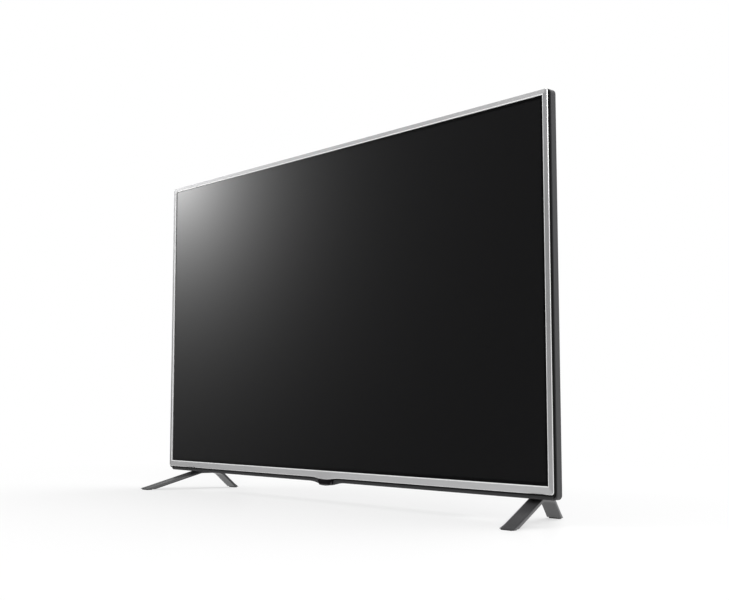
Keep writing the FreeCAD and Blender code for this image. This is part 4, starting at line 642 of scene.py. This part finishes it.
def bentFoot(name, node, side, look):
    work = bmesh.new()
    rings = []
    for over, under in footStations(look):
        rise = Vector(over) - Vector(under)
        most = look["mostDeep"] * rise.length
        points = [(side, 0.0)]
        for edge, wide, deep in ((side, look["outerWide"], look["outerDeep"]),
                                 (-side, look["innerWide"], look["innerDeep"])):
            deep = min(deep, most)
            crown = []
            for step in range(look["crownSteps"] + 1):
                turn = pi / 2 * step / look["crownSteps"]
                crown.append((edge * (1 - wide / look["width"] * 2 * (1 - cos(turn))),
                              1 - deep / rise.length * (1 - sin(turn))))
            points += crown if edge == side else crown[::-1]
        points.append((-side, 0.0))
        ring = []
        for across, share in points:
            depth, level = Vector(under) + rise * share
            centre = side * (look["centre"] - look["lean"] * depth)
            ring.append(work.verts.new((centre + across * look["width"] / 2, depth, level)))
        rings.append(ring)
    for near, far in zip(rings, rings[1:]):
        bridged(work, near, far)
    for ring in (rings[0], rings[-1]):
        work.faces.new(ring)
    pieceFrom(name, work, "foot_plastic", [node], look["sharp"])


for footName, footSide in (("left_foot", -1), ("right_foot", 1)):
    bentFoot(footName + "_bar", footName, footSide, footLook)
print("feet made")


# Chin: a smoked lens whose front bulges a little

lensLook = {"halfTop": 0.019, "halfLow": 0.014, "radius": 0.09024, "across": 28, "up": 12, "bulge": 0.0003,
            "softness": 3.0, "sharp": 50}


def chinLens(look):
    low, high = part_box("sensor_window")
    work = bmesh.new()
    front, back = [], []
    for row in range(look["up"] + 1):
        down = row / look["up"]
        half = look["halfTop"] + (look["halfLow"] - look["halfTop"]) * down
        near, far = [], []
        for step in range(look["across"] + 1):
            part = 2 * step / look["across"] - 1
            sag = look["radius"] - sqrt(look["radius"] ** 2 - (part * look["halfLow"]) ** 2)
            level = high.z + (low.z + sag - high.z) * down
            edge = max(abs(part), abs(2 * down - 1)) ** look["softness"]
            near.append(work.verts.new((part * half, low.y + look["bulge"] * edge, level)))
            far.append(work.verts.new((part * half, high.y, level)))
        front.append(near)
        back.append(far)
    rims = [(front[0], back[0]), (front[-1], back[-1])]
    rims += [([row[end] for row in front], [row[end] for row in back]) for end in (0, -1)]
    for near, far in rims + list(zip(front, front[1:])) + list(zip(back, back[1:])):
        for step in range(len(near) - 1):
            work.faces.new([near[step], near[step + 1], far[step + 1], far[step]])
    pieceFrom("sensor_lens", work, "smoked_window", ["sensor_window"], look["sharp"])


chinLens(lensLook)
print("chin lens made")


# Screws: a cross-recessed screw in the place of every screw of a node

screwLook = {"segments": 28, "soft": 0.16, "softMiddle": 0.3, "pointWide": 0.5, "pointTall": 0.6,
             "crossHalf": 0.13, "crossReach": 0.56, "crossTaper": 0.45, "crossDepth": 0.7, "spin": 40,
             "firstSeed": 3}
screwKinds = {
    "rear_cover_screws": {"axis": "Y", "headUp": True, "headHeight": 0.0018, "shank": 0.0015},
    "board_screws": {"axis": "Y", "headUp": True, "headHeight": 0.0019, "shank": 0.00125},
    "foot_screws": {"axis": "Z", "headUp": False, "headHeight": 0.0022, "shank": 0.002},
}


def crossScrew(name, radius, length, kind, look):
    # The screw stands on its point, or hangs from its head
    level = (lambda rise: rise) if kind["headUp"] else (lambda rise: length - rise)
    soft = radius * look["soft"]
    shank = kind["shank"]
    under = length - kind["headHeight"]
    work = bmesh.new()
    between = soft * look["softMiddle"]
    profile = [(0, 0), (shank * look["pointWide"], 0), (shank, shank * look["pointTall"]), (shank, under),
               (radius, under), (radius, length - soft), (radius - between, length - between),
               (radius - soft, length)]
    placed = [(wide, level(rise)) for wide, rise in profile]
    rings = turned(work, placed, kind["axis"], segments=look["segments"])
    cross = []
    for size, depth in ((1, 0), (look["crossTaper"], kind["headHeight"] * look["crossDepth"])):
        half, reach = radius * look["crossHalf"], radius * look["crossReach"] * size
        arm = [(reach, -half), (reach, half), (half, half)]
        corners = [(across * cos(turn) - up * sin(turn),
                    across * sin(turn) + up * cos(turn))
                   for turn in (pi / 2 * step for step in range(4)) for across, up in arm]
        cross.append([work.verts.new(planePoint(kind["axis"], (0, 0, 0), across, up, level(length - depth)))
                      for across, up in corners])
    mouth = [work.edges.new((cross[0][step - 1], cross[0][step])) for step in range(len(cross[0]))]
    rim = [work.edges.get((rings[-1][step - 1], rings[-1][step])) for step in range(len(rings[-1]))]
    bmesh.ops.triangle_fill(work, use_beauty=True, edges=mouth + rim)
    bridged(work, *cross)
    work.faces.new(cross[1])
    return meshFrom(name + "Template", work)


def driveScrews():
    for seed, (node, kind) in enumerate(screwKinds.items(), screwLook["firstSeed"]):
        lumps = nodeIslands(node)
        low, high = lumps[0]
        along = "XYZ".index(kind["axis"])
        template = crossScrew(node, (high.x - low.x) / 2, high[along] - low[along], kind, screwLook)
        points = []
        for low, high in lumps:
            point = (low + high) / 2
            point[along] = low[along]
            points.append(point)
        spin = [0, 0, 0]
        spin[along] = screwLook["spin"]
        mesh = scattered(node, template, points, finishes["screw_steel"], spin, seed)
        addPiece(node + "_cross", mesh, [node])
        print(len(lumps), "screws set for", node)


driveScrews()


# Connectors: threaded aerial socket, phono jacks with coloured collars, contacts, mains pins

aerialLook = {"flange": 0.0056, "flangeTop": 0.0016, "flangeCut": 0.0003, "barrel": 0.0047,
              "thread": 0.00035, "pitch": 0.0009, "turns": 9, "lead": 0.8, "crestStart": 0.4,
              "crestEnd": 0.55, "runOut": 0.7, "mouthCut": 0.0006, "bore": 0.0024, "floor": 0.002,
              "hole": 0.0005, "setBack": 0.0008, "coreBase": 0.0022, "coreGap": 0.00005, "segments": 40}


def aerialSocket(look):
    low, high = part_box("antenna_socket")
    middle = frontMiddle(low, high)
    base, top = low.y, high.y
    groove = look["barrel"] - look["thread"]
    profile = [(0, base), (look["flange"] - look["flangeCut"], base),
               (look["flange"], base + look["flangeCut"]), (look["flange"], base + look["flangeTop"]),
               (groove, base + look["flangeTop"])]
    start = top - look["pitch"] * (look["turns"] + look["lead"])
    for turn in range(look["turns"]):
        level = start + look["pitch"] * turn
        profile += [(groove, level), (look["barrel"], level + look["pitch"] * look["crestStart"]),
                    (look["barrel"], level + look["pitch"] * look["crestEnd"])]
    profile += [(groove, top - look["pitch"] * look["runOut"]), (look["barrel"] - look["mouthCut"], top),
                (look["bore"], top), (look["bore"], base + look["floor"]), (0, base + look["floor"])]
    work = bmesh.new()
    turned(work, profile, "Y", middle, look["segments"])
    inner, outer = look["hole"], look["bore"] - look["coreGap"]
    start, end = base + look["coreBase"], top - look["setBack"]
    core = [(inner, start), (inner, end), (outer, end), (outer, start)]
    turned(work, core, "Y", middle, look["segments"], loop=True, paint=1)
    pieceFrom("aerial_socket_threaded", work, "contact_metal", ["antenna_socket"],
              others=[finishes["white_sheet"]])


phonoLook = {"sleeve": 0.0008, "soft": 0.0003, "hole": 0.0017, "collarBack": 0.0006, "floor": 0.0016,
             "colours": [(0.62, 0.03, 0.03), (0.78, 0.78, 0.76), (0.80, 0.55, 0.03)], "shade": 0.85,
             "segments": 36}
collarDye = {"roughness": 0.4, "unevenGloss": 0.08, "grain": 0.0005, "cloud": 0.004, "relief": 0.00001}


def phonoJacks(look):
    work = bmesh.new()
    dyes = []
    for count, (low, high) in enumerate(nodeIslands("av_jacks")):
        tint = look["colours"][count]
        dye = {"dark": [value * look["shade"] for value in tint], "light": tint, **collarDye}
        dyes.append(mouldedFinish("phonoCollar" + str(count + 1), dye))
        middle = frontMiddle(low, high)
        outer = (high.z - low.z) / 2
        inner = outer - look["sleeve"]
        soft = look["soft"]
        sleeve = [(0, low.y), (outer, low.y), (outer, high.y - soft), (outer - soft, high.y),
                  (inner, high.y), (inner, low.y + soft), (0, low.y + soft)]
        turned(work, sleeve, "Y", middle, look["segments"])
        floor, face = low.y + look["floor"], high.y - look["collarBack"]
        collar = [(0, floor), (look["hole"], floor), (look["hole"], face), (inner, face),
                  (inner, low.y + 2 * soft), (0, low.y + 2 * soft)]
        turned(work, collar, "Y", middle, look["segments"], paint=count + 1)
    pieceFrom("phono_jacks", work, "contact_metal", ["av_jacks"], others=dyes)


contactLook = {
    "hdmi_ports": {"pitch": 0.001, "rows": ((10, 1), (9, -1)), "wide": 0.00045, "long": 0.0055,
                   "proud": 0.00012},
    "usb_port": {"pitch": 0.0024, "rows": ((4, -1),), "wide": 0.0011, "long": 0.0075,
                 "proud": 0.00015},
}
socketFit = {"rise": 0.0024, "wall": 0.0006, "tongue": 0.0012, "setBack": 0.0016}


def socketContacts(node, look):
    # Rows of plated contacts on the faces of a socket's tongue
    work = bmesh.new()
    boxed(work, (0, -look["proud"], -look["wide"] / 2), (look["long"], look["proud"], look["wide"] / 2))
    template = meshFrom(node + "Contact", work)
    points = []
    for low, high in nodeIslands(node):
        level = (low.y + socketFit["rise"] + high.y - socketFit["wall"]) / 2
        middle = (low.z + high.z) / 2
        for count, face in look["rows"]:
            for step in range(count):
                points.append((low.x + socketFit["setBack"], level + face * socketFit["tongue"] / 2,
                               middle + (step - (count - 1) / 2) * look["pitch"]))
    mesh = scattered(node + "_contacts", template, points, finishes["contact_metal"])
    addPiece(node + "_contacts", mesh)


pinLook = {"shoulder": 0.8, "neck": 0.86, "neckBack": 0.3, "tip": 0.5, "segments": 28}


def mainsPins(look):
    work = bmesh.new()
    for low, high in nodeIslands("ac_pins"):
        radius = (high.x - low.x) / 2
        profile = [(0, low.y), (radius, low.y), (radius, high.y - radius * look["shoulder"]),
                   (radius * look["neck"], high.y - radius * look["neckBack"]),
                   (radius * look["tip"], high.y), (0, high.y)]
        turned(work, profile, "Y", frontMiddle(low, high), look["segments"])
    pieceFrom("mains_pins", work, "contact_metal", ["ac_pins"])


aerialSocket(aerialLook)
phonoJacks(phonoLook)
for socketNode, socketLook in contactLook.items():
    socketContacts(socketNode, socketLook)
mainsPins(pinLook)
print("connectors made")


# Wall mount: threaded steel bosses

bossLook = {"soft": 0.0005, "bore": 0.003, "mouthCut": 0.0002, "thread": 0.00035, "pitch": 0.001, "turns": 13,
            "lead": 0.0008, "segments": 40, "sharp": 30}


def wallBosses(look):
    work = bmesh.new()
    for low, high in nodeIslands("wall_mount_bosses"):
        outer = (high.x - low.x) / 2
        profile = [(0, low.y), (outer, low.y), (outer, high.y - look["soft"]), (outer - look["soft"], high.y),
                   (look["bore"] + look["mouthCut"], high.y), (look["bore"], high.y - look["mouthCut"])]
        for turn in range(look["turns"]):
            level = high.y - look["lead"] - look["pitch"] * turn
            profile += [(look["bore"], level), (look["bore"] - look["thread"], level - look["pitch"] / 2)]
        profile.append((0, high.y - look["lead"] - look["pitch"] * look["turns"]))
        turned(work, profile, "Y", frontMiddle(low, high), look["segments"])
    pieceFrom("wall_bosses_threaded", work, "pressed_steel", ["wall_mount_bosses"], look["sharp"])


wallBosses(bossLook)
print("wall bosses made")


# Button cap, with a dished end and ribs round its side

capLook = {"dish": 0.0006, "dishShape": [(0, 1), (0.45, 0.85), (0.72, 0.2)], "soft": 0.0006,
           "edgeShape": [(1.6, 0), (0.6, 0.25), (0, 1.2)], "topCut": 0.0003, "ribs": 24,
           "ribDepth": 0.00025, "well": 0.0021, "wellFloor": 0.0039, "sharp": 40}


def buttonCap(look):
    low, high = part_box("joystick_cap")
    middle = ((low.x + high.x) / 2, (low.y + high.y) / 2, 0)
    radius = (high.x - low.x) / 2
    end = [(radius * part, low.z + look["dish"] * rise) for part, rise in look["dishShape"]]
    end += [(radius - look["soft"] * part, low.z + look["soft"] * rise) for part, rise in look["edgeShape"]]
    top = [(radius, high.z - look["topCut"]), (radius - look["topCut"], high.z), (look["well"], high.z),
           (look["well"], low.z + look["wellFloor"]), (0, low.z + look["wellFloor"])]
    work = bmesh.new()
    rings = turned(work, end + top, "Z", middle, look["ribs"] * 2)
    for ring in rings[len(end) - 1:len(end) + 1]:
        for vertex in ring[::2]:
            inward = Vector((middle[0] - vertex.co.x, middle[1] - vertex.co.y, 0)).normalized()
            vertex.co += inward * look["ribDepth"]
    pieceFrom("button_cap_ribbed", work, "dark_grey_plastic", ["joystick_cap"], look["sharp"], "button_cap")


buttonCap(capLook)
print("button cap made")


# Inside: lenses, cones, capacitors, coils and the small parts of the boards

lensDome = [(0.0, 0.0), (0.3, 0.02), (0.58, 0.1), (0.8, 0.24), (0.94, 0.44), (1.0, 0.7), (1.0, 1.0),
            (0.0, 1.0)]
lensTurning = {"segments": 20, "sharp": 60}
coneShape = [(0.0, 0.14), (0.16, 0.17), (0.3, 0.3), (0.33, 0.62), (0.78, 0.24), (0.84, 0.06), (0.92, 0.0),
             (0.98, 0.1), (1.0, 0.24), (1.0, 0.5), (0.5, 1.0), (0.0, 1.0)]
canShape = [(0.0, 0.0), (0.92, 0.0), (0.95, 0.04), (1.0, 0.06), (1.0, 0.95), (0.94, 1.0), (0.86, 0.985),
            (0.0, 0.985)]


def shaped(profile, radius, base, height):
    return [(part * radius, base + rise * height) for part, rise in profile]


def ledLenses():
    lumps = nodeIslands("led_lenses")
    low, high = lumps[0]
    work = bmesh.new()
    profile = shaped(lensDome, (high.x - low.x) / 2, 0, high.y - low.y)
    turned(work, profile, segments=lensTurning["segments"])
    template = meshFrom("lensTemplate", work, lensTurning["sharp"])
    points = [frontMiddle(low, high, low.y) for low, high in lumps]
    mesh = scattered("led_lens_domes", template, points, finishes["clear_lens"])
    addPiece("led_lens_domes", mesh, ["led_lenses"])


def turnedLumps(name, node, slot, profile, axis, segments, sharp=40):
    # Every lump of a node as one turned form
    work = bmesh.new()
    along = "XYZ".index(axis)
    for low, high in nodeIslands(node):
        spot = (low + high) / 2
        spot[along] = 0
        lump = shaped(profile, (high.x - low.x) / 2, low[along], high[along] - low[along])
        turned(work, lump, axis, spot, segments)
    pieceFrom(name, work, slot, [node], sharp)


coilLook = {"turns": 26, "turnSteps": 4, "bore": 0.0035, "bulge": 0.07, "round": 12, "sharp": 60}


def powerCoils(look):
    # Toroids whose surface rises over every turn of wire
    work = bmesh.new()
    segments = look["turns"] * look["turnSteps"]
    for low, high in nodeIslands("power_coils"):
        spot = frontMiddle(low, high)
        outer = (high.x - low.x) / 2
        deep = (high.y - low.y) / 2
        section = (outer - look["bore"]) / 2
        rings = [[] for _ in range(look["round"])]
        for index, ring in enumerate(rings):
            around = 2 * pi * index / look["round"]
            for step in range(segments):
                turn = 2 * pi * step / segments
                swell = 1 - look["bulge"] * (1 + cos(turn * look["turns"])) / 2
                wide = outer - section + section * swell * cos(around)
                depth = low.y + deep + deep * swell * sin(around)
                place = planePoint("Y", spot, wide * cos(turn), wide * sin(turn), depth)
                ring.append(work.verts.new(place))
        for index, ring in enumerate(rings):
            bridged(work, ring, rings[index - 1])
    pieceFrom("power_coils_wound", work, "copper_winding", ["power_coils"], look["sharp"])


partKinds = {
    "resistors": {"size": (0.0016, 0.0006, 0.0008), "count": 90, "slot": "chip_black", "seed": 11},
    "capacitors": {"size": (0.0012, 0.0008, 0.0012), "count": 60, "slot": "copper_winding", "seed": 12},
    "chips": {"size": (0.0055, 0.0014, 0.0045), "count": 14, "slot": "chip_black", "seed": 13},
    "cans": {"size": (0.005, 0.0055, 0.005), "count": 12, "slot": "aluminium", "seed": 14},
}
boardFit = {"edge": 0.008, "room": 0.001, "tries": 4000, "area": 0.035, "bevel": 0.12, "segments": 20,
            "sharp": 30}
boards = ["main_board", "power_board", "timing_board"]
partNeighbours = ["board_screws", "board_standoffs", "main_heat_sink", "main_chips", "tuner_can",
                  "power_capacitors", "power_transformer", "power_heat_sinks", "power_coils", "hdmi_ports",
                  "usb_port", "optical_port", "antenna_socket", "av_jacks", "ac_inlet",
                  "wall_mount_bosses", "jack_panel"]


def boardParts(look):
    # Small parts stand on the boards, clear of what the CAD puts there
    taken = [box for node in partNeighbours for box in nodeIslands(node)]
    for label, kind in partKinds.items():
        chooser = random.Random(kind["seed"])
        wide, tall, high = kind["size"]
        work = bmesh.new()
        if label == "cans":
            turned(work, shaped(canShape, wide / 2, 0, tall), segments=look["segments"])
        else:
            boxed(work, (-wide / 2, 0, -high / 2), (wide / 2, tall, high / 2))
            bevel = min(kind["size"]) * look["bevel"]
            bmesh.ops.bevel(work, geom=list(work.edges), offset=bevel, segments=1, affect="EDGES")
        template = meshFrom(label + "Template", work, look["sharp"])
        halfWide, halfHigh = wide / 2 + look["room"], high / 2 + look["room"]
        reach = Vector((halfWide, 0, halfHigh))
        for board in boards:
            low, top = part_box(board)
            area = (top.x - low.x) * (top.z - low.z)
            wanted = round(kind["count"] * area / look["area"])
            points = []
            for _ in range(look["tries"]):
                if len(points) >= wanted:
                    break
                spot = Vector((chooser.uniform(low.x + look["edge"], top.x - look["edge"]), top.y,
                               chooser.uniform(low.z + look["edge"], top.z - look["edge"])))
                if all(spot.x + halfWide < near.x or spot.x - halfWide > far.x or
                       spot.z + halfHigh < near.z or spot.z - halfHigh > far.z for near, far in taken):
                    points.append(spot)
                    taken.append((spot - reach, spot + reach))
            if points:
                mesh = scattered(board + "_" + label, template, points, finishes[kind["slot"]])
                addPiece(board + "_" + label, mesh)


ledLenses()
turnedLumps("speaker_cones_pressed", "speaker_cones", "paper_cone", coneShape, "Z", segments=48)
turnedLumps("power_capacitor_cans", "power_capacitors", "chip_black", canShape, "Y", segments=40)
powerCoils(coilLook)
boardParts(boardFit)
print("inner pieces made")


# Stage: a pale floor, and soft light

floorLook = {"half": 30.0, "white": (0.86, 0.86, 0.86), "glow": 0.62, "glowFrom": 0.5, "glowOver": 0.9,
             "shine": 0.035, "shineRoughness": 0.16}
worldLook = {"ambient": 0.62}
lamps = {
    "leftBox": {"place": (-2.6, -2.6, 2.2), "aim": (0.0, 0.0, 0.3), "size": 2.2, "power": 60,
                "inGloss": False},
    "rightBox": {"place": (2.8, -1.6, 2.2), "aim": (0.2, 0.0, 0.3), "size": 2.0, "power": 45,
                 "inGloss": True},
    "topBox": {"place": (0.4, 1.0, 3.0), "aim": (0.0, 0.0, 0.3), "size": 2.4, "power": 50,
               "inGloss": True},
}
cardLook = {"eye": (1.416, 1.15, 0.162), "around": 31.2, "above": 12.2, "reach": 6.0, "halfWidth": 9.0,
            "lower": 2.1, "upper": 1.1, "peak": 14.9, "tight": 0.178, "wide": 0.429, "tightShare": 0.885,
            "squash": 0.703, "floor": 0.022}


def flatSheet(name, corners, material):
    mesh = bpy.data.meshes.new(name)
    mesh.from_pydata(corners, [], [range(len(corners))])
    mesh.materials.append(material)
    sheet = bpy.data.objects.new(name, mesh)
    scene.collection.objects.link(sheet)
    return sheet


def layFloor(look):
    finish = Finish("paleFloor")
    diffuse = finish.node("ShaderNodeBsdfDiffuse", {}, {"Color": (*look["white"], 1)})
    glow = finish.node("ShaderNodeEmission", {}, {"Color": (1, 1, 1, 1), "Strength": 1.0})
    shine = finish.node("ShaderNodeBsdfGlossy", {}, {"Roughness": look["shineRoughness"]})
    seen = finish.node("ShaderNodeLightPath", out="Is Camera Ray")
    away = finish.vector("LENGTH", {0: finish.place()}, "Value")
    spread = ((away - look["glowFrom"]) / look["glowOver"]).larger(0.0).smaller(1.0)
    glowing = look["glow"] + spread * (1 - look["glow"])
    lit = finish.node("ShaderNodeMixShader", {}, {0: seen * glowing, 1: diffuse, 2: glow})
    polish = (1 - spread) * look["shine"]
    polished = finish.node("ShaderNodeMixShader", {}, {0: polish, 1: lit, 2: shine})
    half = look["half"]
    ground = flatSheet("floor", [(-half, -half, 0), (half, -half, 0), (half, half, 0), (-half, half, 0)],
                       finish.ended(polished))
    ground.visible_glossy = False


def lightWorld(look):
    world = bpy.data.worlds.new("studio")
    scene.world = world
    world.use_nodes = True
    graph = Graph(world.node_tree)
    path = graph.node("ShaderNodeLightPath")
    seen = [Wire(graph, path.socket.node.outputs[name]) for name in
            ("Is Camera Ray", "Is Glossy Ray", "Is Transmission Ray")]
    direct = seen[0].larger(seen[1]).larger(seen[2])
    strength = direct * (1 - look["ambient"]) + look["ambient"]
    sky = graph.node("ShaderNodeBackground", {}, {"Color": (1, 1, 1, 1), "Strength": strength})
    graph.node("ShaderNodeOutputWorld", {}, {"Surface": sky})


def hangLamps():
    for name, lamp in lamps.items():
        light = bpy.data.lights.new(name, "AREA")
        light.shape = "SQUARE"
        light.size = lamp["size"]
        light.energy = lamp["power"]
        holder = bpy.data.objects.new(name, light)
        holder.location = lamp["place"]
        aim = Vector(lamp["aim"]) - Vector(lamp["place"])
        holder.rotation_euler = aim.to_track_quat("-Z", "Y").to_euler()
        holder.visible_glossy = lamp["inGloss"]
        scene.collection.objects.link(holder)


def hangCard(look):
    # A soft card, brightest at its centre and seen only in gloss; eye is the camera mirrored in the screen
    around, above = radians(look["around"]), radians(look["above"])
    ray = Vector((-cos(above) * cos(around), -cos(above) * sin(around), sin(above)))
    centre = Vector(look["eye"]) + ray * look["reach"]
    side = ray.cross(Vector((0, 0, 1))).normalized()
    rise = side.cross(ray).normalized()
    finish = Finish("gradientCard")
    away = finish.vector("SUBTRACT", {0: finish.place(), 1: centre})
    across, up = [finish.vector("DOT_PRODUCT", {0: away, 1: direction}, "Value")
                  for direction in (side, rise)]
    up = up * look["squash"]
    radius = (across * across + up * up).power(0.5)
    tight, wide = radius.decay(look["tight"]), radius.decay(look["wide"])
    fade = tight * look["tightShare"] + wide * (1 - look["tightShare"])
    glow = finish.node("ShaderNodeEmission", {}, {"Strength": fade * look["peak"] + look["floor"]})
    width, lower, upper = side * look["halfWidth"], rise * -look["lower"], rise * look["upper"]
    card = flatSheet("gradientCard", [centre - width + lower, centre + width + lower, centre + width + upper,
                                      centre - width + upper], finish.ended(glow))
    card.visible_camera = False
    card.visible_diffuse = False
    card.visible_shadow = False
    card.visible_transmission = False


layFloor(floorLook)
lightWorld(worldLook)
hangLamps()
hangCard(cardLook)
print("stage and lights set")
